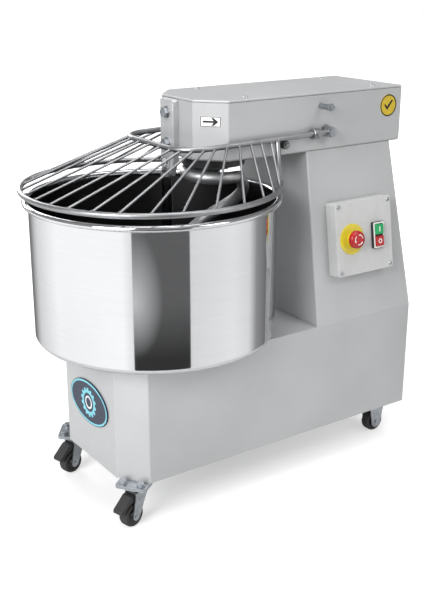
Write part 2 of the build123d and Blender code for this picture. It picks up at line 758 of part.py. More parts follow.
with BuildPart() as guard_switch:
    with Locations((head_half - sheet - 12, pivot_y - 40, 765)):
        Box(24, 34, 62)
    with Locations((head_half - sheet - 12, pivot_y - 40, 800)):
        Box(12, 12, 8)
    fillet(guard_switch.edges().filter_by(Axis.Z), 2)
keep(guard_switch, "guard_switch")

# ---------------------------------------------------------------- control box
with BuildPart() as control_box:
    with BuildSketch(on_box((0, 0), 0)):
        RectangleRounded(box_side, box_side, 5)
    extrude(amount=box_depth)
    with BuildSketch(on_box((0, 0), sheet)):
        RectangleRounded(box_side - 2 * sheet, box_side - 2 * sheet, 3)
    extrude(amount=box_depth, mode=Mode.SUBTRACT)
    with BuildSketch(on_box((0, 0), sheet)):
        for at in box_screws:
            with Locations(at):
                Circle(4)
    extrude(amount=box_depth - sheet)
keep(control_box, "control_box")

estop_collar_r = 13.0
button_gap = 0.4
button_side = 22.0
button_pitch = 26.0
bezel_size = (32.0, 57.0)
bezel_high = 7.0

with BuildPart() as control_panel:
    with BuildSketch(on_box((0, 0), box_depth)):
        RectangleRounded(box_side, box_side, 5)
        with Locations(estop_at):
            Circle(11, mode=Mode.SUBTRACT)
        with Locations(buttons_at):
            Rectangle(24, 49, mode=Mode.SUBTRACT)
    extrude(amount=box_cover)
    fillet(control_panel.faces().sort_by(Axis(tuple(box_origin), tuple(panel_normal)))[-1]
           .outer_wire().edges(), 1)
keep(control_panel, "control_panel")

with BuildPart() as estop_plate:
    with BuildSketch(on_box(estop_at, cover_top)):
        Circle(33)
        Circle(11, mode=Mode.SUBTRACT)
    extrude(amount=1.5)
    with BuildSketch(on_box(estop_at, cover_top + 1.5)):
        Circle(estop_collar_r + 1)
        Circle(11, mode=Mode.SUBTRACT)
    extrude(amount=5)
keep(estop_plate, "estop_plate")

estop_travel = 4.0
estop_head_low = cover_top + 1.5 + 5 + estop_travel + 0.5
with BuildPart() as estop_button:
    with BuildSketch(on_box(estop_at, 14)):
        Circle(10)
    extrude(amount=estop_head_low - 14)
    with BuildSketch(on_box(estop_at, estop_head_low)):
        Circle(19.5)
    extrude(amount=12, taper=4)
    crown = estop_button.faces().sort_by(Axis(tuple(box_origin), tuple(panel_normal)))[-1]
    fillet(crown.edges(), 5)
keep(estop_button, "estop_button")

with BuildPart() as button_bezel:
    with BuildSketch(on_box(buttons_at, cover_top)):
        RectangleRounded(*bezel_size, 3)
        with GridLocations(1, button_pitch, 1, 2):
            Rectangle(button_side + 2 * button_gap, button_side + 2 * button_gap,
                      mode=Mode.SUBTRACT)
    extrude(amount=bezel_high)
keep(button_bezel, "button_bezel")


def push_button(up):
    """A square push-button with softened edges, standing just proud of its bezel."""
    at = (buttons_at[0], buttons_at[1] + up)
    with BuildSketch(on_box(at, 20)) as outline:
        RectangleRounded(button_side, button_side, 1.5)
    extrude(outline.sketch, amount=cover_top + bezel_high + 3.5 - 20, taper=1)


with BuildPart() as start_button:
    push_button(button_pitch / 2)
keep(start_button, "start_button")

with BuildPart() as stop_button:
    push_button(-button_pitch / 2)
keep(stop_button, "stop_button")

with BuildPart() as contact_blocks:
    for at, size in ((estop_at, (34, 40)), (buttons_at, (28, 50))):
        with BuildSketch(on_box(at, sheet)):
            Rectangle(*size)
        extrude(amount=8)
keep(contact_blocks, "contact_blocks")

# ---------------------------------------------------------------- labels and badge
chamfer_run = Vector(head_half - head_front_half, head_chamfer_y - head_front_y, 0).normalized()
chamfer_normal = Vector(chamfer_run.Y, -chamfer_run.X, 0)
label_centre = Vector((head_half + head_front_half) / 2, (head_chamfer_y + head_front_y) / 2, 785)
label_skin = 0.6

with BuildPart() as arrow_label:
    with BuildSketch(Plane(label_centre, x_dir=chamfer_run, z_dir=chamfer_normal)):
        RectangleRounded(42, 21, 1.5)
    extrude(amount=label_skin)
keep(arrow_label, "arrow_label")

with BuildPart() as check_label:
    with BuildSketch(Plane((head_half, bowl_y + 530, 785), x_dir=(0, 1, 0), z_dir=(1, 0, 0))):
        Circle(23.5)
    extrude(amount=label_skin)
keep(check_label, "check_label")

with BuildPart() as front_badge:
    with BuildSketch(Plane((0, base_front_y, 225), x_dir=(1, 0, 0), z_dir=(0, -1, 0))):
        Ellipse(82, 57)
    extrude(amount=3)
    fillet(front_badge.faces().sort_by(Axis.Y)[0].edges(), 1.2)
keep(front_badge, "front_badge")

with BuildPart() as cable_gland:
    rod((-base_half, gland_y, gland_z), (-base_half - 6, gland_y, gland_z), 14)
    rod((-base_half - 6, gland_y, gland_z), (-base_half - 20, gland_y, gland_z), 11)
    fillet(cable_gland.faces().sort_by(Axis.X)[0].edges(), 3)
    rod((-base_half + 2, gland_y, gland_z), (-base_half - 25, gland_y, gland_z), gland_bore_r,
        mode=Mode.SUBTRACT)
keep(cable_gland, "cable_gland")

# ---------------------------------------------------------------- casters
foot_run = Vector(base_half - base_front_half, base_chamfer_y - base_front_y, 0).normalized()
foot_normal = Vector(foot_run.Y, -foot_run.X, 0)
foot_mid = Vector((base_half + base_front_half) / 2, (base_chamfer_y + base_front_y) / 2, 0)
bracket_thick = 6.0
bracket_low_z = base_z - bracket_thick
swivel_high_z = bracket_low_z - 0.5
kingpin_r = 5.0
bolt_spread = 19.0


def mirrored(vector, side):
    """The same vector on the -X side."""
    return Vector(side * vector.X, vector.Y, vector.Z)


def bracket_plane(side, z):
    """Plane of a front caster bracket, first axis along the base's chamfer, second outwards."""
    middle = foot_mid + foot_run * 4.0 - foot_normal * 3.0 + Vector(0, 0, z)
    return Plane(mirrored(middle, side), x_dir=mirrored(foot_run, side), z_dir=(0, 0, 1))


with BuildPart() as caster_plates:
    for side in (-1, 1):
        with BuildSketch(bracket_plane(side, bracket_low_z)):
            RectangleRounded(66, 64, 8)
            Circle(kingpin_r + running, mode=Mode.SUBTRACT)
        extrude(amount=bracket_thick)
keep(caster_plates, "caster_plates")

with BuildPart() as caster_bolts:
    for side in (-1, 1):
        for along in (-bolt_spread, bolt_spread):
            out = -bolt_spread if side == 1 else bolt_spread
            place = bracket_plane(side, base_z)
            centre = place.from_local_coords((along, out, 0))
            hex_bolt(Plane(centre, x_dir=place.x_dir, z_dir=(0, 0, 1)), 13, 5.5, 8)
keep(caster_bolts, "caster_bolts")


def caster_frame(x, y, heading):
    """Plane on the floor under a caster's swivel, first axis along its trail."""
    angle = radians(heading)
    return Plane((x, y, 0), x_dir=(cos(angle), sin(angle), 0), z_dir=(0, 0, 1))


def across(frame, along, axle, z):
    """Upright plane across a caster: at a place along its trail and along its axle."""
    return Plane(frame.from_local_coords((along, axle, z)), x_dir=frame.x_dir,
                 z_dir=-frame.y_dir)


leg_sheet = 2.5
leg_gap = caster_half + 3.0
axle_r = 4.0


def caster_legs(frame, trail, top_z, end_r, root_half):
    """Both legs of a fork, from its crown down to the axle, and the axle itself."""
    for axle in (leg_gap + leg_sheet, -leg_gap):
        with BuildSketch(across(frame, 0, axle, 0)) as leg:
            with Locations((trail, caster_wheel_r)):
                Circle(end_r)
            with Locations((0, top_z - 3)):
                Rectangle(2 * root_half, 6)
            make_hull()
        extrude(leg.sketch, amount=leg_sheet)
    with BuildSketch(across(frame, trail, leg_gap + leg_sheet + 2, caster_wheel_r)) as pin:
        Circle(axle_r)
    extrude(pin.sketch, amount=2 * (leg_gap + leg_sheet + 2))


def crown(frame, half, z_low, z_high):
    """The flat crown that joins a fork's legs."""
    with BuildSketch(Plane(frame.from_local_coords((0, 0, z_low)), x_dir=frame.x_dir,
                           z_dir=(0, 0, 1))) as top:
        Rectangle(2 * half, 2 * (leg_gap + leg_sheet))
    extrude(top.sketch, amount=z_high - z_low)


def wheel(frame, trail):
    """A caster wheel: a crowned tread on a dished disc, turned about its axle."""
    centre = Vector(frame.from_local_coords((trail, 0, caster_wheel_r)))
    tread = caster_wheel_r
    outline = [(-caster_half, 8), (-caster_half, axle_r + running), (caster_half, axle_r + running),
               (caster_half, 8), (caster_half - 2, 9.5), (caster_half - 2, 17), (caster_half, 18.5),
               (caster_half, tread - 3), (caster_half - 3, tread), (3 - caster_half, tread),
               (-caster_half, tread - 3), (-caster_half, 18.5), (2 - caster_half, 17),
               (2 - caster_half, 9.5)]
    with BuildSketch(Plane(centre, x_dir=frame.y_dir, z_dir=frame.x_dir)) as section:
        with BuildLine():
            Polyline(*outline, close=True)
        make_face()
    revolve(section.sketch, axis=Axis(tuple(centre), tuple(frame.y_dir)))


pedal_hinge = (5.0, 64.0)         # along the trail, and height
pedal_pin_r = 2.5
pedal_pin_half = leg_gap - 0.3
pedal_half = 12.0


def pedal(frame, trail):
    """A brake pedal: a curved hood on a hinge pin, which ends in a tread for the foot."""
    hood_r = caster_wheel_r + 7
    arc = [(trail + hood_r * cos(radians(a)), caster_wheel_r + hood_r * sin(radians(a)))
           for a in (28, 58, 88)]
    with BuildSketch(across(frame, 0, pedal_half, 0)) as hood:
        with BuildLine():
            Line(arc[0], (trail + 38, 39))
            Line((trail + 38, 39), (trail + 37, 47))
            Line((trail + 37, 47), (trail + 10, 70))
            Line((trail + 10, 70), (0, 72))
            Line((0, 72), (0, 58.5))
            Line((0, 58.5), arc[2])
            ThreePointArc(arc[2], arc[1], arc[0])
        make_face()
    extrude(hood.sketch, amount=2 * pedal_half)
    with BuildSketch(across(frame, pedal_hinge[0], pedal_pin_half, pedal_hinge[1])) as pin:
        Circle(pedal_pin_r)
    extrude(pin.sketch, amount=2 * pedal_pin_half)


front_frames = {"right": caster_frame(*front_caster, front_caster_deg),
                "left": caster_frame(-front_caster[0], front_caster[1], front_caster_deg)}

for hand, frame in front_frames.items():
    with BuildPart() as fork:
        x, y = frame.origin.X, frame.origin.Y
        turn([(0, 76), (16, 76), (20, 79), (20, swivel_high_z), (kingpin_r, swivel_high_z),
              (kingpin_r, base_z - 1), (0, base_z - 1)], y, x)
        crown(frame, 16, 73, 76)
        caster_legs(frame, front_caster_trail, 76, 9, 15)
    keep(fork, f"{hand}_caster_fork")
    with BuildPart() as brake:
        pedal(frame, front_caster_trail)
        fillet(brake.edges().filter_by(GeomType.LINE).group_by(Axis.Z)[0], 2)
    keep(brake, f"{hand}_brake_pedal")
    with BuildPart() as roller:
        wheel(frame, front_caster_trail)
    keep(roller, f"{hand}_front_wheel")

rear_frames = {"right": caster_frame(*rear_caster, 90),
               "left": caster_frame(-rear_caster[0], rear_caster[1], 90)}

with BuildPart() as rear_caster_forks:
    for frame in rear_frames.values():
        with BuildSketch(Plane((frame.origin.X, frame.origin.Y, base_z - 3), z_dir=(0, 0, 1))):
            RectangleRounded(60, 56, 6)
        extrude(amount=3)
        caster_legs(frame, 0, base_z - 3, 14, 24)
keep(rear_caster_forks, "rear_caster_forks")

for hand, frame in rear_frames.items():
    with BuildPart() as roller:
        wheel(frame, 0)
    keep(roller, f"{hand}_rear_wheel")
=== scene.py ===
import json
from math import atan2, cos, pi, radians, sin

import bmesh
import bpy
from bpy.props import FloatProperty, FloatVectorProperty, PointerProperty
from mathutils import Matrix, Vector


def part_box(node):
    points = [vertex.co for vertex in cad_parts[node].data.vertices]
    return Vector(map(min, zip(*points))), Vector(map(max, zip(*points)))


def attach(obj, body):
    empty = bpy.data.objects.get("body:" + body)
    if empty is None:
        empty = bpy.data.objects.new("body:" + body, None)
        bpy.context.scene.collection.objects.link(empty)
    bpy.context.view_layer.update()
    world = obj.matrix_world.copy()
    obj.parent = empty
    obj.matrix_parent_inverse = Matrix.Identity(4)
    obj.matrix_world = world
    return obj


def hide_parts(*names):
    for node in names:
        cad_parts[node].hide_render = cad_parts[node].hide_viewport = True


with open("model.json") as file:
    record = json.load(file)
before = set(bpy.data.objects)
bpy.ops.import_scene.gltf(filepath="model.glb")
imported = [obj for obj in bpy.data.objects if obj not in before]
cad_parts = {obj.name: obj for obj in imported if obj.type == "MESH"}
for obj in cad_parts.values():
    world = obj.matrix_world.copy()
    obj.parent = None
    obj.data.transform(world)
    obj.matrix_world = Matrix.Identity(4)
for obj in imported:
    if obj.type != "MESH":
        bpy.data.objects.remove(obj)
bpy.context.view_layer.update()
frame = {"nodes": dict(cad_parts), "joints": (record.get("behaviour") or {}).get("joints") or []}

bl_info = {
    "name": "Spiral dough mixer",
    "version": (1, 0, 0),
    "blender": (4, 5, 0),
    "location": "View3D > Sidebar > Dough mixer",
    "description": "Shapes and finishes of a spiral dough mixer, around its packed frame",
    "category": "Object",
}

MM = 0.001


# ---------------------------------------------------------------- places, in millimetres
def middle(node):
    """Middle of a CAD node's box, in millimetres."""
    low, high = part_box(node)
    return (low + high) * 0.5 / MM


BOWL_Y = middle("bowl").y
SPIRAL_Y = middle("spiral_shaft").y
BASE_FRONT_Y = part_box("body_shell")[0].y / MM
PIVOT = Vector(next(j for j in frame["joints"] if j["name"] == "guard_tilt")["pos_m"]) / MM
HEAD_HALF = 110.0
HOOP_Y = BOWL_Y - 4.0
HOOP_R = 258.4
HOOP_Z = 657.4
HOOP_END = 145.5
GUARD_HALF = 122.0
CORNER_R = 55.0
NOSE_Y = BOWL_Y - 1.0
NOSE_Z = 740.0
POST_Y = BOWL_Y + 218.0
COLLAR_Y = BOWL_Y + 317.0
ROD_RUNS = (0, 38, 75, 99, 122, 144, 168, 195, 224, 251, 276, 301)
ROD_TURNS = (0, 11.5, 22.2, 33.9, 45.4, 58.2, 71.0, 85.3, 100.2, 113.9, 124.5, 138.0)


def placed(origin, x_dir, z_dir):
    """A matrix that puts local shapes at a point, with its first and third axes given."""
    z_dir = Vector(z_dir).normalized()
    x_dir = Vector(x_dir).normalized()
    columns = (x_dir, z_dir.cross(x_dir), z_dir)
    return Matrix.Translation(Vector(origin)) @ Matrix(columns).transposed().to_4x4()


COLUMN_LEAN = atan2(163.0 - 108.0, 707.0 - 336.5)
BOX_UP = 182.4
BOX_FACE = placed((163.0 - BOX_UP * sin(COLUMN_LEAN), BOWL_Y + 428.3,
                   336.5 + BOX_UP * cos(COLUMN_LEAN)),
                  (0, 1, 0), (cos(COLUMN_LEAN), 0, sin(COLUMN_LEAN)))
PANEL_TOP = 30.0
ESTOP_AT = (-37.5, -1.0)
BUTTONS_AT = (34.5, -2.0)
BUTTON_PITCH = 26.0
HEAD_CHAMFER = Vector((54.0, 49.0, 0.0)).normalized()
ARROW_FACE = placed((83.0, BOWL_Y + 83.5, 785.0), HEAD_CHAMFER,
                    (HEAD_CHAMFER.y, -HEAD_CHAMFER.x, 0))
CHECK_FACE = placed((HEAD_HALF, BOWL_Y + 530.0, 785.0), (0, 1, 0), (1, 0, 0))
BADGE_FACE = placed((0.0, BASE_FRONT_Y, 222.0), (1, 0, 0), (0, -1, 0))


def on_box(at, height):
    """Local frame on the control box, at a point of its face and a height above the column."""
    return BOX_FACE @ Matrix.Translation((at[0], at[1], height))


# ---------------------------------------------------------------- colours and nodes
def linear(code):
    """Linear red, green, blue of an sRGB hex colour."""
    parts = [int(code[i:i + 2], 16) / 255 for i in (0, 2, 4)]
    return tuple(c / 12.92 if c <= 0.04045 else ((c + 0.055) / 1.055) ** 2.4 for c in parts)


def add(tree, kind, sets=None, links=None):
    """Add a node, with its settings and constant sockets, and with links into its sockets."""
    node = tree.nodes.new("ShaderNode" + kind)
    for key, value in (sets or {}).items():
        if isinstance(key, int) or key in node.inputs:
            node.inputs[key].default_value = value
        else:
            setattr(node, key, value)
    for key, source in (links or {}).items():
        tree.links.new(source, node.inputs[key])
    return node


def finish(name, shades, rough, metallic=0.0, mottle_mm=70.0, grain_mm=2.0, lift_mm=0.03,
           stretch=(1, 1, 1), edge=None, corner_shade=0.0, sockets=None):
    """A material in two shades, with a grain that lifts the surface and breaks up its gloss.

    edge is a third shade where corners are rubbed; the setting after it is painted shade, darkening
    the inside corners where ambient occlusion finds them.
    """
    if name in bpy.data.materials:
        return bpy.data.materials[name]
    material = bpy.data.materials.new(name)
    material.use_nodes = True
    tree = material.node_tree
    tree.nodes.clear()
    place = add(tree, "TexCoord").outputs["Object"]
    patches = add(tree, "TexNoise", {"Scale": 1 / (mottle_mm * MM), "Detail": 4.0},
                  {"Vector": place})
    drawn = add(tree, "Mapping", {"Scale": stretch}, {"Vector": place})
    grain = add(tree, "TexNoise", {"Scale": 1 / (grain_mm * MM), "Detail": 3.0},
                {"Vector": drawn.outputs["Vector"]})
    both = add(tree, "Math", {"operation": "MULTIPLY_ADD", 1: 0.35},
               {0: grain.outputs["Fac"], 2: patches.outputs["Fac"]})
    spread = add(tree, "MapRange", {"From Min": 0.45, "From Max": 0.95},
                 {"Value": both.outputs[0]})
    first, second = (linear(shade) + (1.0,) if isinstance(shade, str) else tuple(shade) + (1.0,)
                     for shade in shades)
    colour = add(tree, "Mix", {"data_type": "RGBA", 6: first, 7: second},
                 {0: spread.outputs["Result"]}).outputs[2]
    if edge:
        rounded = add(tree, "Bevel", {"samples": 4, "Radius": 1.2 * MM})
        plain = add(tree, "NewGeometry")
        facing = add(tree, "VectorMath", {"operation": "DOT_PRODUCT"},
                     {0: rounded.outputs["Normal"], 1: plain.outputs["Normal"]})
        rubbed = add(tree, "MapRange", {"From Min": 0.98, "From Max": 0.75, "To Max": 0.7},
                     {"Value": facing.outputs["Value"]})
        colour = add(tree, "Mix", {"data_type": "RGBA", 7: linear(edge) + (1.0,)},
                     {0: rubbed.outputs["Result"], 6: colour}).outputs[2]
    # Painted shade: the inside corners, found by ambient occlusion, darken towards a warm dark
    # grey.
    if corner_shade:
        open_air = add(tree, "AmbientOcclusion", {"samples": 6, "Distance": 14 * MM})
        shut_in = add(tree, "MapRange", {"From Min": 0.25, "From Max": 0.85, "To Min": corner_shade,
                                         "To Max": 0.0}, {"Value": open_air.outputs["AO"]})
        colour = add(tree, "Mix", {"data_type": "RGBA", 7: linear("3A3733") + (1.0,)},
                     {0: shut_in.outputs["Result"], 6: colour}).outputs[2]
    gloss = add(tree, "MapRange", {"To Min": rough[0], "To Max": rough[1]},
                {"Value": grain.outputs["Fac"]})
    lift = add(tree, "Bump", {"Strength": 0.6, "Distance": lift_mm * MM},
               {"Height": grain.outputs["Fac"]})
    sets = {"Metallic": metallic}
    sets.update(sockets or {})
    shader = add(tree, "BsdfPrincipled", sets,
                 {"Base Color": colour, "Roughness": gloss.outputs["Result"],
                  "Normal": lift.outputs["Normal"]})
    add(tree, "OutputMaterial", links={"Surface": shader.outputs["BSDF"]})
    return material


def casing_coat(colours):
    # Polyester powder coat in aluminium grey, sprayed and baked: an even satin grey with a
    # shallow orange peel about 2 mm across, whose metal flake gives it a soft metallic sheen.
    # Its inside corners get painted shade: a warm dark grey where ambient occlusion finds them.
    return finish("aluminium_grey_powder_coat", (colours.casing, linear("B0B1B2")),
                  (0.34, 0.44), metallic=0.25, mottle_mm=180, grain_mm=2.2, lift_mm=0.02,
                  edge="D6D7D8", corner_shade=0.35)


def frame_coat():
    # Grey zinc-rich primer brushed on hot-rolled plate: matt, with uneven darker patches.
    return finish("zinc_primer_on_rolled_plate", ("6E7173", "595B5D"), (0.55, 0.75),
                  mottle_mm=60, grain_mm=3.0, lift_mm=0.06, edge="85888A")


def bowl_steel():
    # Stainless steel sheet, spun and mirror polished: a clear reflection, with faint lines left
    # round the bowl by the polishing wheel, drawn 4 mm apart because real ones don't show.
    return finish("mirror_polished_stainless", ("D8D9DB", "CFD0D2"), (0.035, 0.08),
                  metallic=1.0, mottle_mm=240, grain_mm=4.0, lift_mm=0.0025,
                  stretch=(0.04, 0.04, 1.0))


def shaded_bowl_inside():
    # The same sheet inside the bowl, left brushed, in a dull dark grey that is painted shade: the
    # shade inside the bowl put into its colour, which only hints at what stands in it.
    return finish("brushed_stainless_inside_painted_shade", ("4A4A4B", "3E3E3F"), (0.3, 0.42), metallic=1.0,
                  mottle_mm=120, grain_mm=3.0, lift_mm=0.02, stretch=(0.05, 0.05, 1.0))


def hook_steel():
    # Cast stainless steel, ground and buffed: bright but soft, with low ripples under the shine.
    return finish("buffed_cast_stainless", ("CECFD0", "B0B1B3"), (0.38, 0.52), metallic=0.9,
                  mottle_mm=22, grain_mm=9.0, lift_mm=0.1)


def tube_steel(colours):
    # Stainless tube and wire, belt ground: satin, with short scratches and duller weld ends.
    return finish("belt_ground_stainless", (colours.guard_steel, linear("8E8F91")), (0.34, 0.46),
                  metallic=1.0, mottle_mm=30, grain_mm=1.6, lift_mm=0.02)


def polished_bar():
    # Drawn stainless bar, polished: a clear dark reflection of the bowl it stands in.
    return finish("polished_drawn_bar", ("BDBEC0", "ABACAE"), (0.08, 0.16), metallic=1.0,
                  mottle_mm=40, grain_mm=6.0, lift_mm=0.02)


def blasted_steel():
    # Stainless plate, bead blasted: pale and matt, with a fine even pitting.
    return finish("bead_blasted_stainless", ("D0D1D2", "C2C3C4"), (0.5, 0.62), metallic=0.7,
                  mottle_mm=30, grain_mm=1.5, lift_mm=0.04, edge="E2E3E4")


def weld_metal():
    # Stainless weld bead, wire brushed: rough and a duller grey than the wire it joins.
    return finish("brushed_weld_bead", ("8A8988", "6F6E6D"), (0.4, 0.6), metallic=1.0,
                  mottle_mm=5, grain_mm=2.0, lift_mm=0.25)


def cast_iron():
    # Grey cast iron, sand cast and oiled: dark, with grains of sand texture about 1.5 mm across.
    return finish("sand_cast_grey_iron", ("55565A", "3E3F42"), (0.45, 0.65), metallic=0.8,
                  mottle_mm=35, grain_mm=1.5, lift_mm=0.12, edge="8A8B8E")


def turned_steel():
    # Carbon steel, turned and oiled: bright, with fine rings from the cutting tool.
    return finish("turned_carbon_steel", ("B5B4B2", "9D9C9B"), (0.2, 0.34), metallic=1.0,
                  mottle_mm=30, grain_mm=1.2, lift_mm=0.015, stretch=(0.1, 0.1, 1.0))


def zinc_plate():
    # Steel, zinc plated and passivated: pale with a cool cast, satin, with cloudy patches.
    # Its inside corners get painted shade: a warm dark grey where ambient occlusion finds them.
    return finish("clear_zinc_plated_steel", ("B9BDC2", "969BA1"), (0.26, 0.42), metallic=1.0,
                  mottle_mm=14, grain_mm=2.5, lift_mm=0.03, edge="D9DCE0", corner_shade=0.4)


def motor_paint():
    # Die-cast aluminium with a grey enamel: slightly glossy over a fine cast skin.
    return finish("grey_enamel_on_cast_aluminium", ("7C8388", "6C7378"), (0.3, 0.45),
                  mottle_mm=50, grain_mm=2.0, lift_mm=0.05, edge="A4A8AB")


def fan_paint():
    # Pressed steel with black enamel: smooth and half glossy.
    return finish("black_enamel_on_pressed_steel", ("2B2C2E", "222325"), (0.28, 0.4),
                  mottle_mm=50, grain_mm=2.5, lift_mm=0.02, edge="5C5D5F")


def belt_rubber():
    # Neoprene V-belt with a woven jacket: dull black, with a weave about 1 mm across.
    return finish("jacketed_neoprene", ("28282A", "1C1C1D"), (0.7, 0.85), mottle_mm=25,
                  grain_mm=1.0, lift_mm=0.1)


def tyre_rubber(colours):
    # Moulded black rubber with dust in its grain: matt, greyer where it has rolled.
    return finish("moulded_black_rubber", (colours.rubber, linear("3B3836")), (0.6, 0.8),
                  mottle_mm=9, grain_mm=1.5, lift_mm=0.08, edge="4A4745")


def black_nylon():
    # Glass-filled nylon, injection moulded with a fine spark texture: near black, low sheen.
    return finish("moulded_black_nylon", ("1E1E20", "262628"), (0.38, 0.52), mottle_mm=20,
                  grain_mm=1.2, lift_mm=0.05, edge="3C3C3F", sockets={"IOR": 1.53})


def moulded(name, shades, rough=(0.18, 0.26), edge=None):
    # ABS, injection moulded: an even deep colour with very slight sink ripples, and glossy
    # unless its mould was textured.
    return finish(name, shades, rough, mottle_mm=30, grain_mm=6.0, lift_mm=0.02, edge=edge,
                  sockets={"IOR": 1.54})


def vinyl(name, shades):
    # Printed self-adhesive vinyl under a clear film: smooth, slightly wavy, half glossy.
    return finish(name, shades, (0.22, 0.3), mottle_mm=20, grain_mm=8.0, lift_mm=0.03,
                  sockets={"IOR": 1.52})


def dome_resin(name, shades):
    # Ink under a poured clear resin dome: deep colour behind a thin, softly glossy coat.
    return finish(name, shades, (0.3, 0.42), mottle_mm=30, grain_mm=10.0, lift_mm=0.03,
                  sockets={"IOR": 1.45, "Coat Weight": 0.1, "Coat Roughness": 0.3})


# ---------------------------------------------------------------- shapes, in millimetres
class Shape:
    """Points and faces of one piece, gathered from turned outlines, tubes and plates."""

    def __init__(self):
        self.points = []
        self.faces = []
        self.inks = []

    def add(self, points, faces, ink=0, at=None):
        """Add points and faces, moved by a local frame, in one of the piece's finishes."""
        first = len(self.points)
        self.points += [at @ Vector(point) if at else Vector(point) for point in points]
        self.faces += [[first + i for i in face] for face in faces]
        self.inks += [ink] * len(faces)

    def turned(self, outline, sides=48, ink=0, at=None, closed=False):
        """Turn (radius, height) points about the local third axis."""
        points, rings, faces = [], [], []
        for radius, height in outline:
            count = sides if radius > 0 else 1
            rings.append([len(points) + i for i in range(count)])
            points += [(radius * cos(2 * pi * i / sides), radius * sin(2 * pi * i / sides), height)
                       for i in range(count)]
        if closed:
            rings.append(rings[0])
        for low, high in zip(rings, rings[1:]):
            for i in range(sides):
                corners = [low[i % len(low)], low[(i + 1) % len(low)],
                           high[(i + 1) % len(high)], high[i % len(high)]]
                faces.append(list(dict.fromkeys(corners)))
        self.add(points, faces, ink, at)

    def tube(self, path, radius, sides=16, ink=0, domed=False):
        """Run a round section along a path, with flat or domed ends."""
        path = [Vector(point) for point in path]
        stations = []
        side = None
        for i, point in enumerate(path):
            ahead = (path[min(i + 1, len(path) - 1)] - path[max(i - 1, 0)]).normalized()
            side = ahead.orthogonal() if side is None else side - ahead * side.dot(ahead)
            side = side.normalized()
            stations.append((point, radius, side, ahead))
        if domed:
            for end, sign in ((0, -1), (-1, 1)):
                point, _, side, ahead = stations[end]
                cap = [(point + ahead * sign * radius * sin(turn), radius * cos(turn), side, ahead)
                       for turn in (radians(a) for a in (25, 50, 70, 84))]
                stations = cap[::-1] + stations if sign < 0 else stations + cap
        points, faces = [], []
        for point, reach, side, ahead in stations:
            other = ahead.cross(side)
            points += [point + (side * cos(2 * pi * i / sides) + other * sin(2 * pi * i / sides))
                       * reach for i in range(sides)]
        for k in range(len(stations) - 1):
            for i in range(sides):
                j = (i + 1) % sides
                faces.append([k * sides + i, k * sides + j, (k + 1) * sides + j,
                              (k + 1) * sides + i])
        faces.append(list(range(sides)))
        faces.append([len(points) - sides + i for i in range(sides)])
        self.add(points, faces, ink)

    def plate(self, outline, high, ink=0, at=None, low=0.0):
        """A flat plate from a local outline, between two heights."""
        count = len(outline)
        points = [(x, y, z) for z in (low, high) for x, y in outline]
        faces = [[i, (i + 1) % count, count + (i + 1) % count, count + i] for i in range(count)]
        faces += [list(range(count)), list(range(count, 2 * count))]
        self.add(points, faces, ink, at)

    def band(self, outer, inner, high, ink=0, at=None, low=0.0):
        """A flat frame between two outlines with the same number of points."""
        count = len(outer)
        points = [(x, y, z) for z in (low, high) for loop in (outer, inner) for x, y in loop]
        faces = []
        for i in range(count):
            j = (i + 1) % count
            loops = [i, count + i, 3 * count + i, 2 * count + i]
            faces += [[a + (j - i) if k else a for a, k in
                       ((loops[p], 0), (loops[p], 1), (loops[q], 1), (loops[q], 0))]
                      for p, q in ((0, 1), (1, 2), (2, 3), (3, 0))]
        self.add(points, faces, ink, at)

    def made(self, name, finishes, body, slot=None, replaces=(), soft=38.0):
        """Make the object, in metres, and let it ride on its body."""
        mesh = bpy.data.meshes.new(name)
        mesh.from_pydata([tuple(point * MM) for point in self.points], [], self.faces)
        mesh.polygons.foreach_set("material_index", self.inks)
        for material in finishes:
            mesh.materials.append(material)
        form = bmesh.new()
        form.from_mesh(mesh)
        bmesh.ops.remove_doubles(form, verts=form.verts, dist=1e-7)
        bmesh.ops.recalc_face_normals(form, faces=form.faces)
        form.to_mesh(mesh)
        form.free()
        mesh.polygons.foreach_set("use_smooth", [True] * len(mesh.polygons))
        mesh.set_sharp_from_angle(angle=radians(soft))
        piece = bpy.data.objects.new(name, mesh)
        bpy.context.scene.collection.objects.link(piece)
        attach(piece, body)
        if replaces:
            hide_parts(*replaces)
        return piece


def paint(material, *names):
    """Give CAD nodes a finish."""
    for name in names:
        for slot in frame["nodes"][name].material_slots:
            slot.material = material


def arc(radius, first, last, steps, centre=(0.0, 0.0)):
    """Points along an arc, by its angles in degrees."""
    turns = [radians(first + (last - first) * i / steps) for i in range(steps + 1)]
    return [(centre[0] + radius * cos(t), centre[1] + radius * sin(t)) for t in turns]


def rounded_box(wide, tall, corner, steps=4):
    """Outline of a rectangle with round corners."""
    x, y = wide / 2 - corner, tall / 2 - corner
    corners = (((x, y), 0), ((-x, y), 90), ((-x, -y), 180), ((x, -y), 270))
    return [p for centre, turn in corners for p in arc(corner, turn, turn + 90, steps, centre)]


def hex_outline(across):
    """Outline of a hexagon, by its width across flats."""
    reach = across / 2 / cos(pi / 6)
    return [(reach * cos(radians(60 * i)), reach * sin(radians(60 * i))) for i in range(6)]


# ---------------------------------------------------------------- settings
class MixerSizes(bpy.types.PropertyGroup):
    bowl_rim: FloatProperty(name="Bowl rim", description="Height of the bowl's rolled rim",
                            default=0.012, unit="LENGTH", subtype="DISTANCE")
    guard_tube: FloatProperty(name="Guard tube", description="Diameter of the guard's tube",
                              default=0.011, unit="LENGTH", subtype="DISTANCE")
    guard_rod: FloatProperty(name="Guard rods", description="Diameter of the guard's rods",
                             default=0.005, unit="LENGTH", subtype="DISTANCE")
    hook_bar: FloatProperty(name="Hook bar", description="Diameter of the spiral hook's bar",
                            default=0.025, unit="LENGTH", subtype="DISTANCE")
    ink: FloatProperty(name="Ink height", description="Height of printed marks above their label",
                       default=0.00025, unit="LENGTH", subtype="DISTANCE")


def colour_setting(name, description, code):
    """A colour setting from an sRGB hex value."""
    return FloatVectorProperty(name=name, description=description, subtype="COLOR", size=3,
                               min=0.0, max=1.0, default=linear(code))


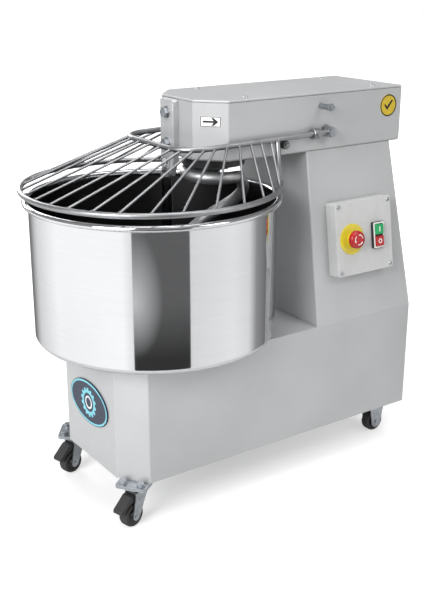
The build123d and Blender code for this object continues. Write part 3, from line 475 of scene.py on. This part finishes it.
class MixerColours(bpy.types.PropertyGroup):
    casing: colour_setting("Casing", "Powder coat of the base, column and head", "BBBCBD")
    guard_steel: colour_setting("Guard steel", "Steel of the guard", "A2A3A5")
    rubber: colour_setting("Rubber", "Wheels and bumpers", "262524")
    badge: colour_setting("Badge", "Ground colour of the front badge", "1A2740")
    estop: colour_setting("Emergency stop", "Mushroom of the emergency stop", "B01419")
    start: colour_setting("Start button", "Face of the start button", "12A05A")


# ---------------------------------------------------------------- stage
CAMERA_AT = (1.656487, -1.152835, 1.080170)
CAMERA_DOWN = 19.098
CAMERA_TURN = 55.49
LENS_MM = 58.82
ROOM_GLOW = 0.35
PAPER_HALF = 9000
PAPER_NEAR = 3.2
TENT_R = 900.0
PANEL_R = 885.0
PANEL_TURNS = (-48, -3.5)
PANEL_LAMP_TURN = -47
TENT_HEIGHTS = (1, 700)
TENT_POWER = 1.4
# Softboxes: name, place, width in metres, and power in watts.
SOFTBOXES = (("key", (1.6, -3.8, 2.5), 2.4, 215.0),
             ("top", (0.2, 0.1, 3.4), 2.4, 48.0),
             ("side", (2.8, 1.3, 2.8), 1.4, 32.0),
             ("fill", (-3.8, 0.2, 1.8), 2.0, 70.0))
# Brightness of the light tent round the bowl: a part of a turn from -X, and a share of full.
TENT_SHADES = ((0.0, 0.1), (0.036, 0.2), (0.083, 0.64), (0.142, 0.86), (0.17, 0.97),
               (0.345, 0.99), (0.365, 0.8), (0.49, 0.7), (0.6, 0.8), (0.65, 0.7),
               (0.68, 0.27), (0.75, 0.08), (0.98, 0.08))


def aim(thing, target):
    """Turn a light or camera towards a point."""
    thing.rotation_euler = (Vector(target) - thing.location).to_track_quat("-Z", "Y").to_euler()


class MIXER_OT_stage(bpy.types.Operator):
    """Floor, soft studio light and camera"""

    bl_idname = "mixer.stage"
    bl_label = "Stage"

    @staticmethod
    def about(tree, centre, reach):
        """Object coordinates measured from a centre, in units of a reach."""
        place = add(tree, "TexCoord").outputs["Object"]
        return add(tree, "Mapping", {"vector_type": "TEXTURE", "Location": centre,
                                     "Scale": reach}, {"Vector": place}).outputs["Vector"]

    @staticmethod
    def screen(name, reach, first, last, steps):
        """A round screen about the bowl, seen only by glossy reflection. Gives its nodes."""
        turns = [radians(first + (last - first) * i / steps) for i in range(steps + 1)]
        shape = Shape()
        shape.add([(reach * cos(t), BOWL_Y + reach * sin(t), z)
                   for t in turns for z in TENT_HEIGHTS],
                  [[2 * i, 2 * i + 1, 2 * i + 3, 2 * i + 2] for i in range(steps)])
        cloth = bpy.data.materials.new(name + "_cloth")
        cloth.use_nodes = True
        cloth.node_tree.nodes.clear()
        glow = add(cloth.node_tree, "Emission")
        add(cloth.node_tree, "OutputMaterial", {}, {"Surface": glow.outputs[0]})
        card = shape.made(name, [cloth], "stand")
        card.parent = None
        for kind in ("camera", "shadow", "diffuse", "transmission"):
            setattr(card, f"visible_{kind}", False)
        return cloth.node_tree, glow

    def execute(self, context):
        scene = context.scene
        scene.view_settings.view_transform = "Standard"
        lens = bpy.data.cameras.new("camera")
        lens.lens = LENS_MM
        lens.sensor_width = 36.0
        camera = bpy.data.objects.new("camera", lens)
        camera.location = CAMERA_AT
        camera.rotation_euler = (radians(90 - CAMERA_DOWN), 0.0, radians(CAMERA_TURN))
        scene.collection.objects.link(camera)
        scene.camera = camera

        world = bpy.data.worlds.new("studio")
        scene.world = world
        world.use_nodes = True
        tree = world.node_tree
        tree.nodes.clear()
        seen = add(tree, "LightPath").outputs["Is Camera Ray"]
        room = add(tree, "Background", {"Color": (1, 1, 1, 1), "Strength": ROOM_GLOW})
        wall = add(tree, "Background", {"Color": (1, 1, 1, 1), "Strength": 1.0})
        both = add(tree, "MixShader", {}, {0: seen, 1: room.outputs[0], 2: wall.outputs[0]})
        add(tree, "OutputWorld", {}, {"Surface": both.outputs[0]})

        # Seamless paper: matt and pale, with a very soft unevenness, lifted to white for the eye.
        paper = finish("pale_seamless_paper", ("D2D2D2", "CCCCCC"), (0.85, 0.95),
                       mottle_mm=900, grain_mm=40, lift_mm=0.05)
        tree = paper.node_tree
        shader = next(node for node in tree.nodes if node.type == "BSDF_PRINCIPLED")
        shader.inputs["Emission Color"].default_value = (1, 1, 1, 1)
        seen = add(tree, "LightPath").outputs["Is Camera Ray"]
        near = add(tree, "TexGradient", {"gradient_type": "SPHERICAL"},
                   {"Vector": self.about(tree, (0, 0, 0), (PAPER_NEAR,) * 3)})
        share = add(tree, "Math", {"operation": "MULTIPLY_ADD", 1: -0.6, 2: 1.0},
                    {0: near.outputs["Fac"]})
        glow = add(tree, "Math", {"operation": "MULTIPLY"}, {0: seen, 1: share.outputs[0]})
        tree.links.new(glow.outputs[0], shader.inputs["Emission Strength"])
        floor = Shape()
        floor.plate([(-PAPER_HALF, -PAPER_HALF), (PAPER_HALF, -PAPER_HALF),
                     (PAPER_HALF, PAPER_HALF), (-PAPER_HALF, PAPER_HALF)], 0.0, low=-20.0)
        ground = floor.made("studio_floor", [paper], "stand")
        ground.parent = None

        # Screens of the light tent, seen only in polished metal: a bright wall that greys
        # towards the back, and a dark panel with one soft lamp behind it.
        wall_tree, wall_glow = self.screen("tent_wall", TENT_R, -180, 180, 72)
        turned = add(wall_tree, "TexGradient", {"gradient_type": "RADIAL"},
                     {"Vector": self.about(wall_tree, (0, BOWL_Y * MM, 0), (1, 1, 1))})
        shades = add(wall_tree, "ValToRGB", {}, {"Fac": turned.outputs["Fac"]})
        for place, value in TENT_SHADES:
            stop = shades.color_ramp.elements.new(place)
            stop.color = (value, value, value, 1.0)
        wall_tree.links.new(shades.outputs["Color"], wall_glow.inputs["Color"])
        wall_glow.inputs["Strength"].default_value = TENT_POWER

        dark_tree, dark_glow = self.screen("tent_dark_panel", PANEL_R, *PANEL_TURNS, 24)
        lamp_turn = radians(PANEL_LAMP_TURN)
        lamp = (PANEL_R * MM * cos(lamp_turn), (BOWL_Y + PANEL_R * sin(lamp_turn)) * MM, 0.27)
        spot = add(dark_tree, "TexGradient", {"gradient_type": "SPHERICAL"},
                   {"Vector": self.about(dark_tree, lamp, (0.34, 0.34, 0.15))})
        height = add(dark_tree, "SeparateXYZ", {},
                     {0: self.about(dark_tree, (0, 0, 0), (1, 1, 1))})
        base = add(dark_tree, "MapRange", {"From Min": 0.12, "From Max": 0.27, "To Min": 0.045,
                                           "To Max": 0.16}, {"Value": height.outputs["Z"]})
        power = add(dark_tree, "Math", {"operation": "MULTIPLY_ADD", 1: 0.62},
                    {0: spot.outputs["Fac"], 2: base.outputs["Result"]})
        dark_tree.links.new(power.outputs[0], dark_glow.inputs["Strength"])

        for name, place, wide, power in SOFTBOXES:
            light = bpy.data.lights.new(name, "AREA")
            light.shape = "SQUARE"
            light.size = wide
            light.energy = power
            lamp = bpy.data.objects.new(name, light)
            lamp.location = place
            aim(lamp, (0, 0, 0.45))
            scene.collection.objects.link(lamp)
        return {"FINISHED"}


# ---------------------------------------------------------------- casing and drive
class MIXER_OT_casing(bpy.types.Operator):
    """Powder-coated base, column, head and control box"""

    bl_idname = "mixer.casing"
    bl_label = "Casing"

    def execute(self, context):
        coat = casing_coat(context.scene.mixer_colours)
        paint(coat, "body_shell", "head_shell", "head_cover", "rear_panel")
        paint(moulded("moulded_pale_grey_plastic", ("C0C1C0", "B8B9B8"), (0.34, 0.46), "D8D9D8"),
              "control_box", "control_panel")
        paint(frame_coat(), "drive_frame", "floor_plate", "head_base_plate")
        paint(zinc_plate(), "cover_screws", "panel_screws")
        paint(black_nylon(), "cable_gland", "guard_switch", "contact_blocks")
        return {"FINISHED"}


class MIXER_OT_drive(bpy.types.Operator):
    """Motor, shafts, pulleys, belts and bearings"""

    bl_idname = "mixer.drive"
    bl_label = "Drive"

    def execute(self, context):
        paint(cast_iron(), "bowl_bearing_housing", "bearing_blocks",
              "main_pulleys", "jack_pulleys", "bowl_pulley", "spiral_pulley", "bowl_hub")
        paint(fan_paint(), "spiral_bearing_housing")
        paint(turned_steel(), "main_shaft", "jack_shaft", "spiral_shaft", "motor_rotor",
              "shaft_bearings")
        paint(motor_paint(), "motor_body")
        paint(fan_paint(), "motor_fan_cover")
        paint(belt_rubber(), "motor_belt", "jack_belt", "bowl_belt", "spiral_belt")
        return {"FINISHED"}


# ---------------------------------------------------------------- bowl and tools
class MIXER_OT_bowl(bpy.types.Operator):
    """Spun bowl with a rolled rim"""

    bl_idname = "mixer.bowl"
    bl_label = "Bowl"

    def execute(self, context):
        bead = context.scene.mixer_sizes.bowl_rim / MM / 2
        wall, sheet, foot, bottom, rim = 249.0, 2.0, 12.0, 347.0, 632.0
        ring = 253.75
        outline = [(0.0, bottom), (120.0, bottom), (wall - foot - 2, bottom)]
        outline += arc(foot, -90, 0, 8, (wall - foot, bottom + foot))
        outline += [(wall, bottom + foot + 3), (wall, (bottom + rim) / 2), (wall, rim - 12)]
        outline += [(ring + (ring - wall + sheet) * cos(radians(a)), rim + bead * sin(radians(a)))
                    for a in range(-130, 181, 15)]
        outline.append((wall - sheet, rim - 8))
        inside = [outline[-1], (wall - sheet, (bottom + rim) / 2)]
        inside += arc(foot - sheet, 0, -90, 8, (wall - foot, bottom + foot))
        inside += [(wall - foot - 3, bottom + sheet), (120.0, bottom + sheet),
                   (0.0, bottom + sheet)]
        shape, at = Shape(), Matrix.Translation((0, BOWL_Y, 0))
        shape.turned(outline, 256, 0, at)
        shape.turned(inside, 256, 1, at)
        # The inner surface takes the finish whose dark grey is painted shade.
        shape.made("spun_bowl", [bowl_steel(), shaded_bowl_inside()], "bowl", "polished_stainless",
                   ["bowl"], soft=50)
        return {"FINISHED"}


def hook_point(turned):
    """A point on the hook's centre line, by its turn in degrees from the start of its top arc."""
    drop = min(1.0, max(0.0, turned - 150.0) / 330.0)
    early = min(1.0, turned / 150.0)
    swell = min(1.0, max(0.0, turned - 150.0) / 120.0)
    radius = 58.5 + (73.0 - 58.5) * swell
    height = 668.0 - 6.0 * early - (668.0 - 6.0 - 386.0) * drop
    angle = radians(-124.5 + turned)
    return Vector((radius * cos(angle), SPIRAL_Y + radius * sin(angle), height))


BREAKER_X = -18.0
BREAKER_R = 11.0


class MIXER_OT_tools(bpy.types.Operator):
    """Spiral hook and breaker bar"""

    bl_idname = "mixer.tools"
    bl_label = "Hook and breaker bar"

    def execute(self, context):
        bar = context.scene.mixer_sizes.hook_bar / MM / 2
        start = hook_point(0)
        axis = Vector((0, SPIRAL_Y, start.z))
        centre = (axis + start) / 2
        reach = (start - axis) / 2
        across = Vector((reach.y, -reach.x, 0))
        path = [centre - reach * cos(t) + across * sin(t)
                for t in (radians(9 * i) for i in range(20))]
        path += [hook_point(t) for t in range(6, 481, 6)]
        shape = Shape()
        shape.tube(path, bar, 32, domed=True)
        shape.turned([(0, 660), (bar + 1, 662), (bar + 2, 668), (bar + 6, 673), (bar + 12, 676),
                      (34, 676), (36, 678), (36, 684), (0, 684)], 64,
                     at=Matrix.Translation((0, SPIRAL_Y, 0)))
        for i in range(4):
            turn = radians(45 + 90 * i)
            at = Matrix.Translation((26.5 * cos(turn), SPIRAL_Y + 26.5 * sin(turn), 676))
            shape.turned([(0, 1), (2.6, 1), (2.6, -2.5), (4.2, -3.4), (5, -2.6), (5, 1)], 24, 1, at)
        shape.made("dough_hook", [hook_steel(), zinc_plate()], "spiral", "polished_stainless",
                   ["spiral_hook"], soft=45)
        breaker, rod_y = Shape(), BOWL_Y + 45
        rod_at = Matrix.Translation((BREAKER_X, rod_y, 0))
        at = placed((BREAKER_X, BOWL_Y + 59.0, 0.0), (1, 0, 0), (0, -1, 0))
        breaker.plate([(-24, 700), (-10, 666), (10, 666), (24, 700), (24, 817), (20, 821),
                       (-20, 821), (-24, 817)], 13.0, 0, at)
        breaker.tube([(BREAKER_X, rod_y, z) for z in (705, 600, 500, 378)], BREAKER_R, 32, 1)
        breaker.turned([(0, 372), (6, 372), (9.4, 374), (BREAKER_R, 378)], 32, 1, rod_at)
        breaker.turned([(BREAKER_R, 664), (12.6, 666), (12.6, 671), (BREAKER_R, 674)], 32, 2,
                       rod_at)
        piece = breaker.made("breaker_bar_and_plate", [blasted_steel(), polished_bar(),
                             weld_metal()], "stand", "satin_stainless", ["breaker_bar"])
        edges = piece.modifiers.new("edges", "BEVEL")
        edges.width, edges.segments, edges.limit_method = 0.8 * MM, 2, "ANGLE"
        paint(zinc_plate(), "breaker_bolts")
        return {"FINISHED"}


# ---------------------------------------------------------------- guard
def hoop_point(turned, side=1):
    """A point on the guard's hoop, by its turn in degrees from the front."""
    angle = radians(turned)
    return Vector((side * HOOP_R * sin(angle), HOOP_Y - HOOP_R * cos(angle), HOOP_Z))


def arm_height(y):
    """Height of the guard's upper rail, which rises evenly from its nose to the pivot."""
    return NOSE_Z + (PIVOT.z - NOSE_Z) / (PIVOT.y - NOSE_Y) * (y - NOSE_Y)


def rail_point(run, side=1):
    """A point on the upper rail, by its distance from the middle of the nose."""
    flat = GUARD_HALF - CORNER_R
    bent = CORNER_R * pi / 2
    if run <= flat:
        x, y = run, NOSE_Y
    elif run <= flat + bent:
        angle = (run - flat) / CORNER_R
        x = flat + CORNER_R * sin(angle)
        y = NOSE_Y + CORNER_R * (1 - cos(angle))
    else:
        x, y = GUARD_HALF, NOSE_Y + CORNER_R + run - flat - bent
    return Vector((side * x, y, arm_height(y)))


RAIL_RUN = GUARD_HALF - CORNER_R + CORNER_R * pi / 2 + PIVOT.y - NOSE_Y - CORNER_R


class MIXER_OT_guard(bpy.types.Operator):
    """Guard: tube rails, hoop, rods, eyes and collars, with its pins and bumpers"""

    bl_idname = "mixer.guard"
    bl_label = "Guard"

    def execute(self, context):
        sizes = context.scene.mixer_sizes
        tube, rod = sizes.guard_tube / MM / 2, sizes.guard_rod / MM / 2
        steel, bead = tube_steel(context.scene.mixer_colours), weld_metal()
        rails = Shape()
        steps = 60
        rails.tube([rail_point(RAIL_RUN * i / steps, -1) for i in range(steps, 0, -1)]
                   + [rail_point(RAIL_RUN * i / steps) for i in range(steps + 1)], tube, 24)
        rails.tube([hoop_point(t) for t in range(-144, 145, 3)], tube, 24, domed=True)
        for side in (-1, 1):
            end = hoop_point(HOOP_END, side)
            top = Vector((side * GUARD_HALF, POST_Y, arm_height(POST_Y)))
            rails.tube([hoop_point(143, side), end], tube, 24, domed=True)
            rails.tube([end, top], tube, 24, domed=True)
            for joint, along in ((end, top - end), (top, end - top)):
                along = along.normalized()
                rails.tube([joint + along * (tube * 0.7), joint + along * (tube * 1.25)],
                           tube + 1.1, 20, 1, domed=False)
            eye = placed((side * GUARD_HALF, PIVOT.y, PIVOT.z), (0, 1, 0), (1, 0, 0))
            rails.turned([(6.2, -9), (10, -9), (11, -8), (11, 8), (10, 9), (6.2, 9)], 40, 0, eye,
                         closed=True)
            clamp = placed((side * GUARD_HALF, COLLAR_Y, arm_height(COLLAR_Y)), (1, 0, 0),
                           (0, 1, 0))
            rails.turned([(tube, -9), (10, -9), (11, -8), (11, 8), (10, 9), (tube, 9)], 40, 0,
                         clamp, closed=True)
            screw = placed((side * GUARD_HALF, COLLAR_Y, arm_height(COLLAR_Y)), (0, 1, 0),
                           (side, 0, 0))
            rails.plate(hex_outline(8.6), 14.0, 0, screw, low=8.0)
        rails.made("guard_rails", [steel, bead], "guard", "satin_stainless", ["guard_frame"])

        rods = Shape()
        for side in (-1, 1):
            for run, turned in zip(ROD_RUNS, ROD_TURNS):
                if run == 0 and side == -1:
                    continue
                low, high = hoop_point(turned, side), rail_point(run, side)
                along = (high - low).normalized()
                rods.tube([low + along * (tube - 1), high - along * (tube - 1)], rod, 14)
                for end, inward in ((low, along), (high, -along)):
                    rods.tube([end + inward * (tube - 0.6), end + inward * (tube + 1.4)],
                              rod + 0.9, 12, 1, domed=True)
        rods.made("guard_rods", [steel, bead], "guard", "satin_stainless", ["guard_wires"])
        bolts, at = Shape(), middle("guard_bumpers")
        for side in (-1, 1):
            face = placed((side * 124.0, at.y, at.z), (0, 0, 1), (side, 0, 0))
            bolts.turned([(0, -1), (5.6, -1), (5.6, 1.0), (6.4, 1.0), (6.4, 1.6), (5.2, 1.8),
                          (0, 1.8)], 32, 0, face)
            bolts.plate(hex_outline(8.6), 6.0, 0, face, low=1.5)
        bolts.made("bumper_bolts", [zinc_plate()], "stand", "zinc_plate")
        paint(zinc_plate(), "guard_pins")
        paint(tyre_rubber(context.scene.mixer_colours), "guard_bumpers")
        return {"FINISHED"}


# ---------------------------------------------------------------- controls
class MIXER_OT_controls(bpy.types.Operator):
    """Emergency stop and push-buttons"""

    bl_idname = "mixer.controls"
    bl_label = "Controls"

    def execute(self, context):
        colours = context.scene.mixer_colours
        white = moulded("moulded_white_plastic", ("E8E8E6", "DEDEDC"))
        red = moulded("moulded_red_plastic", (colours.estop, linear("9C0E14")))
        green = moulded("moulded_green_plastic", (colours.start, linear("0E8C4E")))
        yellow = moulded("moulded_yellow_plastic", ("D8C838", "CDBB2C"))
        paint(yellow, "estop_plate")
        paint(black_nylon(), "button_bezel")
        paint(green, "start_button")
        paint(red, "stop_button")

        low = PANEL_TOP + 1.5 + 5 + 4 + 0.5
        crown = low + 12
        stop = Shape()
        face = on_box(ESTOP_AT, 0)
        stop.turned([(0, 14.5), (10, 14.5), (10, low), (18.4, low), (19.3, low + 0.8),
                     (19.4, low + 3), (18.9, crown - 4.5), (17.6, crown - 2), (15, crown - 0.5),
                     (11, crown), (0, crown)], 72, 0, face)
        for i in range(3):
            first = 120.0 * i + 10
            bend = arc(11.4, first, first + 62, 10) + arc(9.6, first + 62, first, 10)
            stop.plate(bend, crown + 0.35, 1, face, low=crown - 0.6)
            tip = [(r * cos(radians(first + t)), r * sin(radians(first + t)))
                   for r, t in ((12.8, 60), (8.2, 60), (10.4, 84))]
            stop.plate(tip, crown + 0.35, 1, face, low=crown - 0.9)
        stop.made("stop_mushroom", [red, white], "estop", "red_plastic", ["estop_button"])

        top = PANEL_TOP + 7 + 3.5
        upper = on_box((BUTTONS_AT[0], BUTTONS_AT[1] + BUTTON_PITCH / 2), top)
        lower = on_box((BUTTONS_AT[0], BUTTONS_AT[1] - BUTTON_PITCH / 2), top)
        stroke = Shape()
        stroke.plate(rounded_box(2.4, 11, 0.8, 3), 0.25, 0, upper, low=-0.3)
        stroke.made("start_mark", [white], "start_push", "label_white")
        loop = Shape()
        loop.band(arc(5.2, 0, 337.5, 30), arc(3.2, 0, 337.5, 30), 0.25, 0, lower, low=-0.3)
        loop.made("stop_mark", [white], "stop_push", "label_white")
        rim = Shape()
        rim.band(rounded_box(30.5, 55.5, 2.5), rounded_box(23.2, 49.2, 0.6), 0.4, 0,
                 on_box(BUTTONS_AT, PANEL_TOP + 7), low=-0.2)
        rim.made("button_rim", [white], "stand", "label_white")
        return {"FINISHED"}


# ---------------------------------------------------------------- labels and badge
class MIXER_OT_labels(bpy.types.Operator):
    """Arrow label, tick label and front badge"""

    bl_idname = "mixer.labels"
    bl_label = "Labels and badge"

    def execute(self, context):
        ink = context.scene.mixer_sizes.ink / MM
        paper = vinyl("printed_white_vinyl", ("FAFAF8", "F2F2F0"))
        black = vinyl("black_label_ink", ("18181A", "222224"))
        yellow = vinyl("printed_yellow_vinyl", ("CDB338", "C2A830"))
        paint(paper, "arrow_label")
        paint(yellow, "check_label")
        skin = 0.6
        arrow = Shape()
        arrow.band(rounded_box(41, 20, 1.2), rounded_box(38.4, 17.4, 0.8), skin + ink, 0,
                   ARROW_FACE, low=skin - 0.1)
        arrow.plate([(-15.5, -1.9), (6, -1.9), (1.5, -7.6), (6, -7.6), (15.5, 0), (6, 7.6),
                     (1.5, 7.6), (6, 1.9), (-15.5, 1.9)],
                    skin + ink, 0, ARROW_FACE, low=skin - 0.1)
        arrow.made("turning_arrow", [black], "stand", "black_plastic")

        tick = Shape()
        tick.band(arc(23.2, 0, 354, 59), arc(20.8, 0, 354, 59), skin + ink, 0, CHECK_FACE,
                  low=skin - 0.1)
        tick.plate([(-12, 1), (-9.5, 3.5), (-4, -2.5), (9, 11.5), (12.5, 9.5), (-3.5, -10)],
                   skin + ink, 0, CHECK_FACE, low=skin - 0.1)
        tick.made("tick_mark", [black], "stand", "black_plastic")

        navy = dome_resin("navy_ink_under_resin", (context.scene.mixer_colours.badge,
                                                   linear("162238")))
        cyan = dome_resin("pale_cyan_ink_under_resin", ("7FCAD8", "6CBCCB"))
        white = dome_resin("white_ink_under_resin", ("EEF1F2", "E2E6E8"))

        def oval(wide, tall, steps=96):
            return [(wide * cos(2 * pi * i / steps), tall * sin(2 * pi * i / steps))
                    for i in range(steps)]

        thick, seat = 3.0, 2.7
        badge = Shape()
        badge.plate(oval(79, 47), thick - 0.6, 2, BADGE_FACE)
        badge.band(oval(79, 47), oval(78.2, 46.2), thick, 2, BADGE_FACE, low=thick - 0.6)
        badge.plate(oval(78.2, 46.2), thick, 2, BADGE_FACE, low=thick - 0.6)
        badge.band(oval(77.5, 45.5), oval(73.5, 41.5), thick + ink, 0, BADGE_FACE, low=seat)
        teeth = []
        for i in range(14):
            first = 360.0 / 14 * i
            for turn, reach in ((0, 27), (9, 27), (12, 32), (22, 32)):
                angle = radians(first + turn)
                teeth.append((reach * cos(angle), reach * sin(angle)))
        steps = len(teeth)
        angles = [atan2(y, x) for x, y in teeth]
        inner = [(20.5 * cos(angle), 20.5 * sin(angle)) for angle in angles]
        badge.band(teeth, inner, thick + ink, 0, BADGE_FACE, low=seat)
        badge.band(oval(14, 14, steps), oval(10.5, 10.5, steps), thick + ink, 1, BADGE_FACE,
                   low=seat)
        badge.made("oval_badge", [cyan, white, navy], "stand", "badge_navy", ["front_badge"])
        return {"FINISHED"}


# ---------------------------------------------------------------- casters
FRONT_CASTER = (134.7, BOWL_Y - 134.2)
REAR_CASTER = (95.0, BOWL_Y + 550.0)


class MIXER_OT_casters(bpy.types.Operator):
    """Casters: wheels, forks, plates, bolts and brake pedals"""

    bl_idname = "mixer.casters"
    bl_label = "Casters"

    def execute(self, context):
        rubber, hub = tyre_rubber(context.scene.mixer_colours), black_nylon()
        for hand, side in (("left", -1), ("right", 1)):
            for end, (x, y), heading, trail in (("front", FRONT_CASTER, -75, 16.0),
                                                ("rear", REAR_CASTER, 90, 0.0)):
                ahead = Vector((cos(radians(heading)), sin(radians(heading)), 0))
                axle = Vector((-ahead.y, ahead.x, 0))
                at = placed(Vector((side * x, y, 25)) + ahead * trail, ahead, axle)
                wheel = Shape()
                wheel.turned([(17.5, -9.5), (18.5, -10.6), (21, -11), (23.3, -10), (24.6, -7.5),
                              (25, -4), (25, 4), (24.6, 7.5), (23.3, 10), (21, 11), (18.5, 10.6),
                              (17.5, 9.5)], 64, 0, at, closed=True)
                wheel.turned([(4.2, -11), (7.6, -11), (8.4, -10), (9.2, -8.4), (15, -8.0),
                              (16.5, -9.4), (17.8, -9.6), (17.8, 9.6), (16.5, 9.4), (15, 8.0),
                              (9.2, 8.4), (8.4, 10), (7.6, 11), (4.2, 11)], 48, 1, at, closed=True)
                wheel.made(f"{hand}_{end}_tyre", [rubber, hub], f"{hand}_{end}_roller",
                           "black_rubber", [f"{hand}_{end}_wheel"])
            paint(zinc_plate(), f"{hand}_caster_fork")
            paint(black_nylon(), f"{hand}_brake_pedal")
        paint(zinc_plate(), "caster_plates", "caster_bolts", "rear_caster_forks")
        return {"FINISHED"}


# ---------------------------------------------------------------- panel and running
OPERATORS = (MIXER_OT_stage, MIXER_OT_casing, MIXER_OT_drive, MIXER_OT_bowl, MIXER_OT_tools,
             MIXER_OT_guard, MIXER_OT_controls, MIXER_OT_labels, MIXER_OT_casters)


class MIXER_PT_panel(bpy.types.Panel):
    """Lists the mixer's pieces and settings"""

    bl_idname = "MIXER_PT_panel"
    bl_label = "Dough mixer"
    bl_space_type = "VIEW_3D"
    bl_region_type = "UI"
    bl_category = "Dough mixer"

    def draw(self, context):
        for settings in (context.scene.mixer_sizes, context.scene.mixer_colours):
            for name in settings.__annotations__:
                self.layout.prop(settings, name)
        for operator in OPERATORS:
            self.layout.operator(operator.bl_idname)


CLASSES = (MixerSizes, MixerColours) + OPERATORS + (MIXER_PT_panel,)


def register():
    """Register the classes and their settings."""
    for one in CLASSES:
        bpy.utils.register_class(one)
    bpy.types.Scene.mixer_sizes = PointerProperty(type=MixerSizes)
    bpy.types.Scene.mixer_colours = PointerProperty(type=MixerColours)


def unregister():
    """Take the settings and classes away again."""
    del bpy.types.Scene.mixer_colours
    del bpy.types.Scene.mixer_sizes
    for one in reversed(CLASSES):
        bpy.utils.unregister_class(one)


def main():
    """Make every piece in order."""
    register()
    bpy.ops.mixer.stage()
    bpy.ops.mixer.casing()
    bpy.ops.mixer.drive()
    bpy.ops.mixer.bowl()
    bpy.ops.mixer.tools()
    bpy.ops.mixer.guard()
    bpy.ops.mixer.controls()
    bpy.ops.mixer.labels()
    bpy.ops.mixer.casters()


if __name__ == "__main__":
    main()
